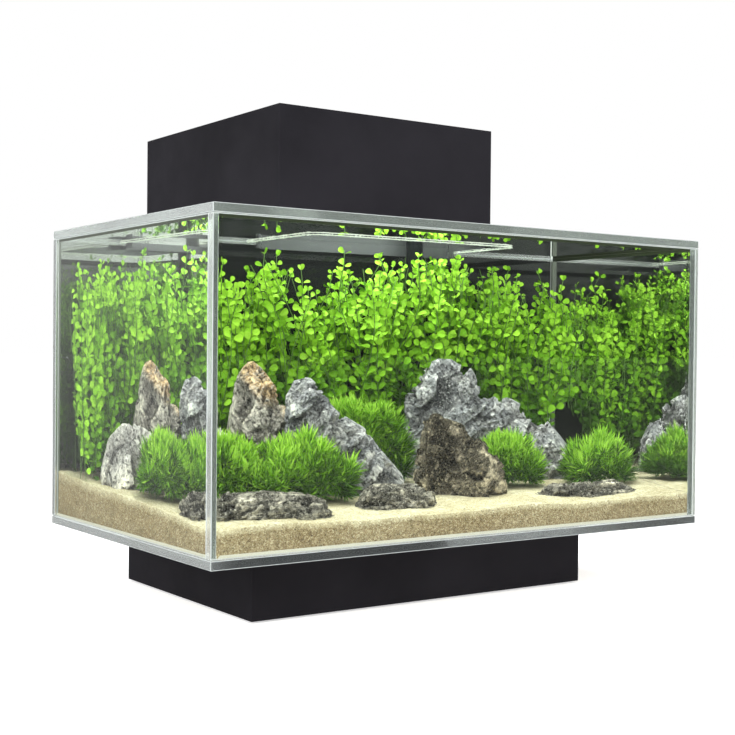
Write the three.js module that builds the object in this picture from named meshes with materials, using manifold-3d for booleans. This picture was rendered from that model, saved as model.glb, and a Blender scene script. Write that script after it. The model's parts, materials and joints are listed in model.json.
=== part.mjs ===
// Desktop aquarium: a frameless glass tank on a pedestal base, with a lift-off hood that hides the
// lamp and a hang-on-back filter. Millimetres, +Z up, front towards -Y, origin under the middle of
// the whole object on the surface that it stands on.
import * as THREE from 'three';
import { mergeVertices } from 'three/addons/utils/BufferGeometryUtils.js';
import Module from 'manifold-3d';

const wasm = await Module();
wasm.setup();

// ---------------------------------------------------------------- driving dimensions
const TANK = { width: 435, depth: 260, height: 225, glass: 6 };
const BASE = { width: 304, front: -66, back: 133, height: 51, wall: 2.5 };
const HOOD = { width: 202, front: -12, back: 212, height: 91, wall: 2.5 };
const OPENING = { halfWidth: 92, front: -3, back: 120, corner: 12 };
const SPINE = { width: 170, back: 209, floor: -47, wall: 2.5 };
const FILTER = { halfWidth: 75, front: 136.4, back: 205.6, floor: 120, top: 240, wall: 2 };
const INTAKE = { x: 50, drop: 100, rise: 158, outer: 7.5, inner: 6 };
const FOOT = { radius: 9, height: 1.2, inset: 22 };
const SAND = { front: 23.5, back: 37.5, floor: 6.3 };
const GAP = 0.3;

// The tank's own frame has its origin under the middle of the tank. The whole object reaches from
// the tank's front to the hood's back, so that frame sits forward of the middle and above the base.
const TANK_FRONT = -TANK.depth / 2;
const TANK_BACK = TANK.depth / 2;
const TANK_Y = -(TANK_FRONT + HOOD.back) / 2;
const INNER = {
  x: TANK.width / 2 - TANK.glass,
  y: TANK.depth / 2 - TANK.glass,
  low: TANK.glass,
  high: TANK.height - TANK.glass,
};
const HOOD_LOW = TANK.height + GAP;
const HOOD_TOP = TANK.height + HOOD.height;

// ---------------------------------------------------------------- materials
const finish = (color, roughness, metalness = 0) =>
  new THREE.MeshStandardMaterial({ color, roughness, metalness });

const MATERIAL = {
  glass: new THREE.MeshStandardMaterial({
    color: 0xdfeeea, roughness: 0.03, transparent: true, opacity: 0.35,
  }),
  silicone: finish(0xd9dedc, 0.35),
  black: finish(0x2f2d31, 0.42),
  innerBlack: finish(0x1c1c1e, 0.55),
  rubber: finish(0x161616, 0.85),
  foamMat: finish(0x202022, 0.95),
  smoke: finish(0x8f9698, 0.2),
  steel: finish(0xb4b6b8, 0.3, 1),
  aluminium: finish(0xc4c6c8, 0.35, 1),
  board: finish(0xe9ebe6, 0.5),
  diffuser: finish(0xf6f8fa, 0.35),
  ceramic: finish(0xcfc6b6, 0.9),
  foam: finish(0x33373b, 1),
  sand: finish(0xd9c69f, 0.95),
  tanRock: finish(0x9c9382, 0.9),
  greyRock: finish(0x84868c, 0.9),
  darkRock: finish(0x55504b, 0.9),
  stems: finish(0x7fc01f, 0.6),
  tufts: finish(0x4fb022, 0.6),
};

// ---------------------------------------------------------------- geometry helpers
function toSolid(geometry) {
  const plain = geometry.clone();
  plain.deleteAttribute('normal');
  plain.deleteAttribute('uv');
  const merged = mergeVertices(plain, 1e-4);
  return new wasm.Manifold(new wasm.Mesh({
    numProp: 3,
    vertProperties: new Float32Array(merged.attributes.position.array),
    triVerts: new Uint32Array(merged.index.array),
  }));
}

function toGeometry(solid) {
  const mesh = solid.getMesh();
  const geometry = new THREE.BufferGeometry();
  const points = new Float32Array(mesh.numVert * 3);
  for (let i = 0; i < mesh.numVert; i += 1) {
    for (let k = 0; k < 3; k += 1) points[3 * i + k] = mesh.vertProperties[mesh.numProp * i + k];
  }
  geometry.setAttribute('position', new THREE.BufferAttribute(points, 3));
  geometry.setIndex(new THREE.BufferAttribute(new Uint32Array(mesh.triVerts), 1));
  return geometry;
}

function boxShape([x0, x1], [y0, y1], [z0, z1]) {
  const geometry = new THREE.BoxGeometry(x1 - x0, y1 - y0, z1 - z0);
  geometry.translate((x0 + x1) / 2, (y0 + y1) / 2, (z0 + z1) / 2);
  return geometry;
}

const box = (x, y, z) => toSolid(boxShape(x, y, z));

// A cylinder, or a cone where the two radii differ, along an axis between two stations.
function rod(axis, [a, b], [from, to], radius, { endRadius = radius, sides = 24 } = {}) {
  const geometry = new THREE.CylinderGeometry(endRadius, radius, to - from, sides);
  geometry.translate(0, (from + to) / 2, 0);
  if (axis === 'z') {
    geometry.rotateX(Math.PI / 2);
    geometry.translate(a, b, 0);
  } else {
    geometry.translate(a, 0, b);
  }
  return toSolid(geometry);
}

function roundedOutline([x0, x1], [y0, y1], radius) {
  const shape = new THREE.Shape();
  shape.moveTo(x0 + radius, y0);
  shape.lineTo(x1 - radius, y0);
  shape.absarc(x1 - radius, y0 + radius, radius, -Math.PI / 2, 0, false);
  shape.lineTo(x1, y1 - radius);
  shape.absarc(x1 - radius, y1 - radius, radius, 0, Math.PI / 2, false);
  shape.lineTo(x0 + radius, y1);
  shape.absarc(x0 + radius, y1 - radius, radius, Math.PI / 2, Math.PI, false);
  shape.lineTo(x0, y0 + radius);
  shape.absarc(x0 + radius, y0 + radius, radius, Math.PI, 1.5 * Math.PI, false);
  return shape;
}

function roundedPlate(x, y, [z0, z1], radius, corners = 5) {
  const geometry = new THREE.ExtrudeGeometry(roundedOutline(x, y, radius), {
    depth: z1 - z0, bevelEnabled: false, curveSegments: corners,
  });
  geometry.translate(0, 0, z0);
  return toSolid(geometry);
}

const grow = ([low, high], by) => [low - by, high + by];

// A solid swollen by about the gap, used to cut its neighbours clear of it.
function swollen(solid, by = 2 * GAP) {
  const { min, max } = solid.boundingBox();
  const middle = min.map((low, i) => (low + max[i]) / 2);
  const factor = min.map((low, i) => 1 + (2 * by) / (max[i] - low));
  return solid.translate(middle.map((m) => -m)).scale(factor).translate(middle);
}

// ---------------------------------------------------------------- the scene graph
const aquarium = new THREE.Group();
const tankFrame = new THREE.Group();
tankFrame.position.set(0, TANK_Y, BASE.height);
aquarium.add(tankFrame);

function place(name, shape, material) {
  const geometry = shape.isBufferGeometry ? shape : toGeometry(shape);
  const mesh = new THREE.Mesh(geometry, material);
  mesh.name = name;
  tankFrame.add(mesh);
}

// ---------------------------------------------------------------- glass tank
const halfWidth = TANK.width / 2;
const wallHeight = [TANK.glass + GAP, TANK.height - TANK.glass - GAP];
const fullWidth = [-halfWidth, halfWidth];
const fullDepth = [TANK_FRONT, TANK_BACK];
const accessX = [-OPENING.halfWidth, OPENING.halfWidth];
const accessY = [OPENING.front, OPENING.back];

function buildTank() {
  place('glass_bottom', boxShape(fullWidth, fullDepth, [0, TANK.glass]), MATERIAL.glass);
  const frontDepth = [TANK_FRONT, TANK_FRONT + TANK.glass];
  place('glass_front', boxShape(fullWidth, frontDepth, wallHeight), MATERIAL.glass);
  place('glass_back', boxShape(fullWidth, [TANK_BACK - TANK.glass, TANK_BACK], wallHeight), MATERIAL.glass);
  const sideDepth = [-INNER.y + GAP, INNER.y - GAP];
  place('glass_left', boxShape([-halfWidth, -INNER.x], sideDepth, wallHeight), MATERIAL.glass);
  place('glass_right', boxShape([INNER.x, halfWidth], sideDepth, wallHeight), MATERIAL.glass);
  const lid = box(fullWidth, fullDepth, [INNER.high, TANK.height]);
  const hole = roundedPlate(accessX, accessY, [INNER.high - 1, TANK.height + 1], OPENING.corner);
  place('glass_top', lid.subtract(hole), MATERIAL.glass);
}

// Square beads along the tank's twelve inner edges, joined into one cage.
const BEAD = 2.2;

function edgeCage(inset, bead) {
  const reach = [-INNER.x + inset, INNER.x - inset];
  const span = [-INNER.y + inset, INNER.y - inset];
  const rise = [INNER.low + inset, INNER.high - inset];
  const low = (range) => [range[0], range[0] + bead];
  const high = (range) => [range[1] - bead, range[1]];
  const ends = [low, high];
  let cage = null;
  for (const first of ends) {
    for (const second of ends) {
      for (const bar of [
        box(reach, first(span), second(rise)),
        box(first(reach), span, second(rise)),
        box(first(reach), second(span), rise),
      ]) cage = cage ? cage.add(bar) : bar;
    }
  }
  return cage;
}

// A clear rim clipped into the access hole, with an apron at the back, where the water returns.
const RIM = { wall: 1.6, clearance: 0.4, flange: 2.4, flangeHeight: 1.5, apron: 5.5, apronDepth: 16 };

function buildAccessRim() {
  const skirtX = grow(accessX, -RIM.clearance);
  const skirtY = grow(accessY, -RIM.clearance);
  const flangeHeight = [HOOD_LOW, HOOD_LOW + RIM.flangeHeight];
  const skirtRound = OPENING.corner - RIM.clearance;
  const skirt = roundedPlate(skirtX, skirtY, [INNER.high, flangeHeight[1]], skirtRound);
  const flange = roundedPlate(
    grow(accessX, RIM.flange), grow(accessY, RIM.flange), flangeHeight, OPENING.corner + RIM.flange,
  );
  const bore = roundedPlate(
    grow(skirtX, -RIM.wall), grow(skirtY, -RIM.wall),
    [INNER.high - RIM.apron - 1, flangeHeight[1] + 1], skirtRound - RIM.wall,
  );
  const apronHeight = [INNER.high - RIM.apron, INNER.high + 1];
  const rear = box(skirtX, [skirtY[1] - RIM.apronDepth, skirtY[1]], apronHeight);
  const apron = roundedPlate(skirtX, skirtY, apronHeight, skirtRound).intersect(rear);
  place('access_rim', skirt.add(flange).add(apron).subtract(bore), MATERIAL.smoke);
}

// The black film covers the back pane between the side panes, so all the panes' edges stay clear.
function buildBackground() {
  const film = [TANK_BACK + GAP, TANK_BACK + GAP + 2];
  const height = [TANK.glass + GAP, INNER.high - GAP];
  place('background_panel', boxShape([-INNER.x, INNER.x], film, height), MATERIAL.innerBlack);
}

// ---------------------------------------------------------------- stand: base, feet, rear column
const baseX = [-BASE.width / 2, BASE.width / 2];
const baseY = [BASE.front, BASE.back];
const FLOOR = -BASE.height;
const plateLow = FLOOR + FOOT.height + GAP;
const plateTop = plateLow + 2.5;
const baseTop = -1.6;
const columnX = [-SPINE.width / 2, SPINE.width / 2];
const columnY = [BASE.back + GAP, SPINE.back];
const BOLT = { shaft: 2, head: 3.6, headHeight: 1.6, x: 40, z: -25 };
const POST = { radius: 5, inset: 38, screwDepth: 12 };
const RIB = { spacing: 66, thick: 2, depth: 13 };

// The four corners of a rectangle that lies this far inside the base's outline.
function baseCorners(insetX, insetY) {
  const corners = [];
  for (const x of grow(baseX, -insetX)) {
    for (const y of grow(baseY, -insetY)) corners.push([x, y]);
  }
  return corners;
}
const footSpots = baseCorners(FOOT.inset, FOOT.inset);
const screwSpots = baseCorners(FOOT.inset, POST.inset);

function buildBase() {
  let shell = box(baseX, baseY, [plateLow, baseTop]);
  shell = shell.subtract(box(
    grow(baseX, -BASE.wall), grow(baseY, -BASE.wall), [FLOOR - 1, baseTop - BASE.wall],
  ));
  for (const spot of screwSpots) {
    const post = rod('z', spot, [plateTop + GAP, baseTop - 1], POST.radius, { sides: 16 });
    const pilotDepth = [plateTop - 1, plateTop + POST.screwDepth + 2];
    const pilot = rod('z', spot, pilotDepth, BOLT.shaft + GAP, { sides: 12 });
    shell = shell.add(post).subtract(pilot);
  }
  for (const y of [0, RIB.spacing]) {
    shell = shell.add(box(grow(baseX, -1), [y, y + RIB.thick], [baseTop - 1 - RIB.depth, baseTop - 1]));
  }
  for (const x of [-BOLT.x, BOLT.x]) {
    const throughWall = [BASE.back - 6, BASE.back + 6];
    shell = shell.subtract(rod('y', [x, BOLT.z], throughWall, BOLT.shaft + GAP, { sides: 12 }));
  }
  place('base_shell', shell, MATERIAL.black);

  const inner = BASE.wall + GAP;
  let plate = box(grow(baseX, -inner), grow(baseY, -inner), [plateLow, plateTop]);
  screwSpots.forEach((spot, i) => {
    const headTop = plateLow + BOLT.headHeight;
    plate = plate.subtract(rod('z', spot, [plateLow - 1, plateTop + 1], BOLT.shaft + GAP, { sides: 12 }));
    plate = plate.subtract(rod('z', spot, [plateLow - 1, headTop], BOLT.head + GAP, { sides: 12 }));
    const head = rod('z', spot, [plateLow + 0.1, headTop - GAP], BOLT.head, { sides: 12 });
    const shaft = rod('z', spot, [plateLow + 0.5, plateTop + POST.screwDepth], BOLT.shaft, { sides: 12 });
    place(`base_screw_${i + 1}`, head.add(shaft), MATERIAL.steel);
  });
  footSpots.forEach((spot, i) => {
    const pad = rod('z', spot, [FLOOR, FLOOR + FOOT.height], FOOT.radius);
    place(`foot_${i + 1}`, pad, MATERIAL.rubber);
  });
  place('base_plate', plate, MATERIAL.innerBlack);

  const mat = boxShape(grow(baseX, -4), [BASE.front + 4, TANK_BACK - 1], [baseTop + GAP, -GAP]);
  place('support_mat', mat, MATERIAL.foamMat);
}

// The column behind the tank carries the hood's rear and holds the filter. It is open at the top.
const GROMMET = { z: -28, hole: 7, bore: 4 };
const COLUMN_VENT = { count: 5, low: 30, pitch: 9, height: 3.5, halfWidth: 45 };
const HOOD_VENT = { count: 7, pitch: 16, halfWidth: 4.5, height: 4, drop: 26 };
const rearCut = (back) => [back - 6, back + 2];

function buildColumn() {
  let column = box(columnX, columnY, [SPINE.floor, TANK.height]);
  column = column.subtract(box(
    grow(columnX, -SPINE.wall), grow(columnY, -SPINE.wall), [SPINE.floor + SPINE.wall, TANK.height + 1],
  ));
  for (const x of [-BOLT.x, BOLT.x]) {
    const throughWall = [BASE.back - 1, BASE.back + 6];
    column = column.subtract(rod('y', [x, BOLT.z], throughWall, BOLT.shaft + GAP, { sides: 12 }));
  }
  column = column.subtract(rod('y', [0, GROMMET.z], rearCut(SPINE.back), GROMMET.hole + GAP));
  for (let row = 0; row < COLUMN_VENT.count; row += 1) {
    const z = COLUMN_VENT.low + COLUMN_VENT.pitch * row;
    column = column.subtract(box(
      [-COLUMN_VENT.halfWidth, COLUMN_VENT.halfWidth], rearCut(SPINE.back), [z, z + COLUMN_VENT.height],
    ));
  }
  place('rear_column', column, MATERIAL.black);

  [-BOLT.x, BOLT.x].forEach((x, i) => {
    const inside = BASE.back + GAP + SPINE.wall + GAP;
    const head = rod('y', [x, BOLT.z], [inside, inside + BOLT.headHeight], BOLT.head, { sides: 12 });
    const shaft = rod('y', [x, BOLT.z], [BASE.back - 12, inside + 1], BOLT.shaft, { sides: 12 });
    place(`column_screw_${i + 1}`, head.add(shaft), MATERIAL.steel);
  });

  const wallIn = SPINE.back - SPINE.wall;
  const neck = rod('y', [0, GROMMET.z], [wallIn - 2, SPINE.back + 0.5], GROMMET.hole);
  const lip = rod('y', [0, GROMMET.z], [wallIn - 3, wallIn - GAP], GROMMET.hole + 2);
  const flange = rod('y', [0, GROMMET.z], [SPINE.back + GAP, SPINE.back + 2], GROMMET.hole + 2);
  const bore = rod('y', [0, GROMMET.z], [wallIn - 5, SPINE.back + 5], GROMMET.bore);
  place('cable_grommet', neck.add(lip).add(flange).subtract(bore), MATERIAL.rubber);
}

// ---------------------------------------------------------------- hood and its frame
const hoodX = [-HOOD.width / 2, HOOD.width / 2];
const hoodY = [HOOD.front, HOOD.back];
const hoodInnerX = grow(hoodX, -HOOD.wall);
const hoodInnerY = grow(hoodY, -HOOD.wall);
const ceiling = HOOD_TOP - HOOD.wall;
const BUTTON = { x: 0, y: 150, radius: 8, travel: 1.5 };

function buildHood() {
  let shell = box(hoodX, hoodY, [HOOD_LOW, HOOD_TOP]);
  shell = shell.subtract(box(hoodInnerX, hoodInnerY, [HOOD_LOW - 1, ceiling]));
  shell = shell.subtract(rod('z', [BUTTON.x, BUTTON.y], [ceiling - 1, HOOD_TOP + 1], BUTTON.radius + 0.4));
  const ventLow = HOOD_TOP - HOOD_VENT.drop;
  for (let slot = 0; slot < HOOD_VENT.count; slot += 1) {
    const x = HOOD_VENT.pitch * (slot - (HOOD_VENT.count - 1) / 2);
    const ventX = [x - HOOD_VENT.halfWidth, x + HOOD_VENT.halfWidth];
    shell = shell.subtract(box(ventX, rearCut(HOOD.back), [ventLow, ventLow + HOOD_VENT.height]));
  }
  const cableNotch = box([-14, 14], rearCut(HOOD.back), [HOOD_LOW - 1, HOOD_LOW + 8]);
  place('hood_shell', shell.subtract(cableNotch), MATERIAL.black);

  const buttonLow = ceiling - 3.2;
  const cap = rod('z', [BUTTON.x, BUTTON.y], [buttonLow + 1.2, HOOD_TOP - 0.2], BUTTON.radius);
  const skirt = rod('z', [BUTTON.x, BUTTON.y], [buttonLow, ceiling - GAP - 0.5], BUTTON.radius + 2);
  place('switch_button', cap.add(skirt), MATERIAL.innerBlack);
  const bodyHeight = [ceiling - 16, buttonLow - BUTTON.travel - 0.5];
  const body = box([-11, 11], [BUTTON.y - 11, BUTTON.y + 11], bodyHeight);
  const ears = box([-19, 19], [BUTTON.y - 4, BUTTON.y + 4], [ceiling - 16, ceiling - 12]);
  let posts = box([-19, -15], [BUTTON.y - 4, BUTTON.y + 4], [ceiling - 16, ceiling - GAP]);
  posts = posts.add(box([15, 19], [BUTTON.y - 4, BUTTON.y + 4], [ceiling - 16, ceiling - GAP]));
  place('switch_body', body.add(ears).add(posts), MATERIAL.innerBlack);
}

// The frame lies on the glass round the access hole and on the column, and locates the hood.
function buildHoodFrame() {
  const outerX = grow(hoodInnerX, -1);
  const outerY = grow(hoodInnerY, -1);
  const low = HOOD_LOW;
  let frame = box(outerX, outerY, [low, low + 2.5]);
  frame = frame.add(box(outerX, outerY, [low, low + 10]).subtract(
    box(grow(outerX, -2), grow(outerY, -2), [low - 1, low + 11]),
  ));
  const clear = RIM.flange + RIM.clearance;
  const rim = roundedPlate(
    grow(accessX, clear), grow(accessY, clear), [low - 1, low + 20], OPENING.corner + clear,
  );
  const well = box(grow(columnX, -4), [BASE.back + 3.2, columnY[1] - 3], [low - 1, low + 5]);
  frame = frame.subtract(rim).subtract(well);
  place('hood_frame', frame, MATERIAL.innerBlack);
}

// ---------------------------------------------------------------- lamp, hung from the hood's ceiling
const LAMP = { halfWidth: 80, front: 8, back: 92, low: HOOD_TOP - 52, height: 13 };

function buildLamp() {
  const lampX = [-LAMP.halfWidth, LAMP.halfWidth];
  const lampY = [LAMP.front, LAMP.back];
  const high = LAMP.low + LAMP.height;
  let housing = box(lampX, lampY, [LAMP.low, high]);
  housing = housing.subtract(box(grow(lampX, -2), grow(lampY, -2), [LAMP.low - 1, LAMP.low + 9]));
  for (let fin = 0; fin < 9; fin += 1) {
    const x = -64 + 16 * fin;
    housing = housing.add(box([x - 1, x + 1], grow(lampY, -4), [high - 1, high + 8]));
  }
  place('lamp_housing', housing, MATERIAL.aluminium);

  const boardHigh = LAMP.low + 9 - GAP;
  let board = box(grow(lampX, -2.6), grow(lampY, -2.6), [boardHigh - 1.6, boardHigh]);
  for (const x of [-54, -18, 18, 54]) {
    for (const y of [LAMP.front + 22, LAMP.back - 22]) {
      board = board.add(box([x - 2.5, x + 2.5], [y - 2.5, y + 2.5], [boardHigh - 2.6, boardHigh - 1]));
    }
  }
  place('lamp_board', board, MATERIAL.board);
  const diffuser = boxShape(grow(lampX, -2.4), grow(lampY, -2.4), [LAMP.low, LAMP.low + 2]);
  place('lamp_diffuser', diffuser, MATERIAL.diffuser);

  // Two straps hang the lamp: each has a foot under the ceiling and a foot on the housing's end.
  [-1, 1].forEach((side, i) => {
    const end = side * (LAMP.halfWidth + GAP);
    const out = [Math.min(end, end + side * 2), Math.max(end, end + side * 2)];
    const foot = [Math.min(end, end - side * 14), Math.max(end, end - side * 14)];
    const strap = box(out, [40, 60], [LAMP.low + 1, ceiling - GAP]);
    const top = box(grow(foot, 1), [40, 60], [ceiling - GAP - 2, ceiling - GAP]);
    place(`lamp_strap_${i + 1}`, strap.add(top), MATERIAL.steel);
  });
}

// ---------------------------------------------------------------- hang-on-back filter
function buildFilter() {
  const x = [-FILTER.halfWidth, FILTER.halfWidth];
  const y = [FILTER.front, FILTER.back];
  const { wall } = FILTER;
  const lipLow = HOOD_LOW + 2.5 + GAP;
  let body = box(x, y, [FILTER.floor, FILTER.top]);
  const chute = box([-62, 22], [OPENING.back - 8, y[0] + 1], [lipLow, FILTER.top]);
  body = body.add(chute);
  body = body.subtract(box(grow(x, -wall), grow(y, -wall), [FILTER.floor + wall, FILTER.top + 1]));
  body = body.subtract(box([-60, 20], [OPENING.back - 9, y[0] + wall + 1], [lipLow + wall, FILTER.top + 1]));
  body = body.add(box([26, 28], grow(y, -1), [FILTER.floor + 1, FILTER.top - 22]));
  place('filter_body', body, MATERIAL.innerBlack);

  const lidLow = FILTER.top + GAP;
  const lidX = [-FILTER.halfWidth, 24];
  let lid = box(lidX, [y[0] + 1, y[1]], [lidLow, lidLow + 2.5]);
  lid = lid.add(box([-72, 21], [y[1] - wall - 2.6, y[1] - wall - 0.6], [lidLow - 6, lidLow + 1]));
  lid = lid.add(box([-36, -16], [168, 172], [lidLow + 1, lidLow + 10]));
  place('filter_lid', lid, MATERIAL.innerBlack);

  place('foam_block', boxShape([-72, -42], [139.5, 202.5], [124, 205]), MATERIAL.foam);
  place('ceramic_block', boxShape([-40, 24.5], [139.5, 202.5], [124, 190]), MATERIAL.ceramic);
}

// Motor at the bottom of the intake chamber, with a rotor that turns on a fixed shaft.
const PUMP = { x: INTAKE.x, y: INTAKE.rise, floor: FILTER.floor + FILTER.wall + GAP };

function buildPump() {
  const { x, y, floor } = PUMP;
  const motorTop = floor + 30;
  let motor = box([x - 20, x + 20], [y - 17, y + 17], [floor, motorTop]);
  motor = motor.subtract(rod('z', [x, y], [floor + 6, motorTop + 1], 11));
  place('pump_motor', motor, MATERIAL.black);

  const shaft = rod('z', [x, y], [floor + 6 + GAP, motorTop + 12], 1.2, { sides: 16 });
  place('pump_shaft', shaft, MATERIAL.ceramic);

  const bore = rod('z', [x, y], [floor, motorTop + 20], 1.6, { sides: 16 });
  let impeller = rod('z', [x, y], [floor + 7.5, motorTop - 2], 8.5);
  impeller = impeller.add(rod('z', [x, y], [motorTop - 3, motorTop + 8], 3.2, { sides: 16 }));
  for (let vane = 0; vane < 4; vane += 1) {
    const blade = box([-9, 9], [-0.8, 0.8], [motorTop - 2.5, motorTop + 6]);
    impeller = impeller.add(blade.rotate([0, 0, 45 * vane]).translate([x, y, 0]));
  }
  place('impeller', impeller.subtract(bore), MATERIAL.smoke);

  let cover = rod('z', [x, y], [motorTop + GAP, motorTop + 12], 14);
  cover = cover.subtract(rod('z', [x, y], [motorTop, motorTop + 10], 11.5));
  cover = cover.subtract(rod('z', [x, y], [motorTop, motorTop + 20], 5));
  cover = cover.subtract(box([x + 5, x + 20], [y - 4, y + 4], [motorTop, motorTop + 8]));
  place('impeller_cover', cover, MATERIAL.innerBlack);
  return motorTop + 12;
}

// A siphon-shaped tube over the tank's back edge, a sliding extension and a slotted strainer.
function buildIntake(coverTop) {
  const crest = TANK.height + 30;
  const route = (bottomFront, bottomBack) => {
    const bend = (INTAKE.rise - INTAKE.drop) / 2;
    const middle = (INTAKE.rise + INTAKE.drop) / 2;
    const points = [new THREE.Vector3(INTAKE.x, INTAKE.drop, bottomFront)];
    for (let step = 0; step <= 8; step += 1) {
      const turn = Math.PI * (1 - step / 8);
      const [along, up] = [middle + bend * Math.cos(turn), crest - bend + bend * Math.sin(turn)];
      points.push(new THREE.Vector3(INTAKE.x, along, up));
    }
    points.push(new THREE.Vector3(INTAKE.x, INTAKE.rise, bottomBack));
    const path = new THREE.CurvePath();
    for (let i = 1; i < points.length; i += 1) path.add(new THREE.LineCurve3(points[i - 1], points[i]));
    return path;
  };
  const sweep = (radius, bottomFront, bottomBack) => {
    const circle = new THREE.Shape();
    circle.absarc(0, 0, radius, 0, 2 * Math.PI, false);
    const path = route(bottomFront, bottomBack);
    return toSolid(new THREE.ExtrudeGeometry(circle, {
      extrudePath: path, steps: 26, curveSegments: 6, bevelEnabled: false,
    }));
  };
  const tube = sweep(INTAKE.outer, 112, coverTop + 1).subtract(sweep(INTAKE.inner, 111, coverTop));
  place('intake_tube', tube, MATERIAL.smoke);

  const at = [INTAKE.x, INTAKE.drop];
  const extension = rod('z', at, [92, 152], 10).subtract(rod('z', at, [91, 153], 8.3));
  place('intake_extension', extension, MATERIAL.smoke);
  let strainer = rod('z', at, [67, 92 - GAP], 11).subtract(rod('z', at, [69, 93], 9));
  for (let slot = 0; slot < 4; slot += 1) {
    const cut = box([-15, 15], [-1.2, 1.2], [72, 88]).rotate([0, 0, 45 * slot]).translate([...at, 0]);
    strainer = strainer.subtract(cut);
  }
  place('strainer', strainer, MATERIAL.innerBlack);

  const knobAt = [INTAKE.x, (INTAKE.rise + INTAKE.drop) / 2];
  const knobLow = crest + INTAKE.outer + 0.5;
  const knob = rod('z', knobAt, [knobLow, knobLow + 3.5], 6, { sides: 20 });
  const arm = box([INTAKE.x - 2, INTAKE.x + 2], [knobAt[1] - 16, knobAt[1]], [knobLow + 0.5, knobLow + 3.5]);
  place('flow_lever', knob.add(arm), MATERIAL.black);
}

// ---------------------------------------------------------------- sand, rocks and plants
const sandHeight = (x, y) => {
  const slope = THREE.MathUtils.clamp((y + INNER.y) / (2 * INNER.y), 0, 1);
  const ripple = 0.8 * Math.sin(x / 31 + 0.6) + 0.6 * Math.sin(x / 17 - y / 23);
  const leftBank = 2.5 * Math.exp(-(((x + 205) / 60) ** 2)) * slope;
  return SAND.front + (SAND.back - SAND.front) * slope ** 0.8 + ripple + leftBank;
};

// A block between the bed's floor and the sand's surface. The lift raises it to cut what stands on it.
function sandBlock([x0, x1], [y0, y1], floor, lift) {
  const columns = 20;
  const rows = 12;
  const points = [];
  const faces = [];
  const id = (i, j, top) => 2 * (j * (columns + 1) + i) + top;
  for (let j = 0; j <= rows; j += 1) {
    for (let i = 0; i <= columns; i += 1) {
      const x = x0 + ((x1 - x0) * i) / columns;
      const y = y0 + ((y1 - y0) * j) / rows;
      points.push(x, y, floor, x, y, sandHeight(x, y) + lift);
    }
  }
  const quad = (a, b, c, d) => faces.push(a, b, c, a, c, d);
  for (let j = 0; j < rows; j += 1) {
    for (let i = 0; i < columns; i += 1) {
      quad(id(i, j, 1), id(i + 1, j, 1), id(i + 1, j + 1, 1), id(i, j + 1, 1));
      quad(id(i, j, 0), id(i, j + 1, 0), id(i + 1, j + 1, 0), id(i + 1, j, 0));
    }
  }
  for (let i = 0; i < columns; i += 1) {
    quad(id(i, 0, 0), id(i + 1, 0, 0), id(i + 1, 0, 1), id(i, 0, 1));
    quad(id(i + 1, rows, 0), id(i, rows, 0), id(i, rows, 1), id(i + 1, rows, 1));
  }
  for (let j = 0; j < rows; j += 1) {
    quad(id(0, j + 1, 0), id(0, j, 0), id(0, j, 1), id(0, j + 1, 1));
    quad(id(columns, j, 0), id(columns, j + 1, 0), id(columns, j + 1, 1), id(columns, j, 1));
  }
  const geometry = new THREE.BufferGeometry();
  geometry.setAttribute('position', new THREE.BufferAttribute(new Float32Array(points), 3));
  geometry.setIndex(faces);
  return toSolid(geometry);
}

// An upright outline in (u, z), turned about +Z and given thickness by shrinking it to both sides.
function lump({ at, turn, outline, depth, shrink = 0.62 }) {
  const contour = outline.map(([u, z]) => new THREE.Vector2(u, z));
  if (THREE.ShapeUtils.isClockWise(contour)) contour.reverse();
  const caps = THREE.ShapeUtils.triangulateShape(contour, []);
  const us = contour.map((p) => p.x);
  const zs = contour.map((p) => p.y);
  const middleU = (Math.min(...us) + Math.max(...us)) / 2;
  const baseZ = Math.min(...zs) + 0.25 * (Math.max(...zs) - Math.min(...zs));
  const angle = THREE.MathUtils.degToRad(turn);
  const layers = [[-1, shrink], [-0.62, 0.9], [0, 1], [0.62, 0.9], [1, shrink]];
  const points = [];
  for (const [side, size] of layers) {
    for (const p of contour) {
      const u = middleU + (p.x - middleU) * size;
      const z = baseZ + (p.y - baseZ) * size;
      const v = side * depth;
      points.push(
        at[0] + u * Math.cos(angle) + v * Math.sin(angle),
        at[1] - u * Math.sin(angle) + v * Math.cos(angle),
        z,
      );
    }
  }
  const count = contour.length;
  const faces = [];
  for (const [a, b, c] of caps) {
    faces.push(a, b, c);
    const last = (layers.length - 1) * count;
    faces.push(last + a, last + c, last + b);
  }
  for (let layer = 0; layer + 1 < layers.length; layer += 1) {
    for (let i = 0; i < count; i += 1) {
      const next = (i + 1) % count;
      const [p, q] = [layer * count + i, layer * count + next];
      const [r, s] = [p + count, q + count];
      faces.push(p, r, q, q, r, s);
    }
  }
  const geometry = new THREE.BufferGeometry();
  geometry.setAttribute('position', new THREE.BufferAttribute(new Float32Array(points), 3));
  geometry.setIndex(faces);
  return toSolid(geometry);
}

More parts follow.
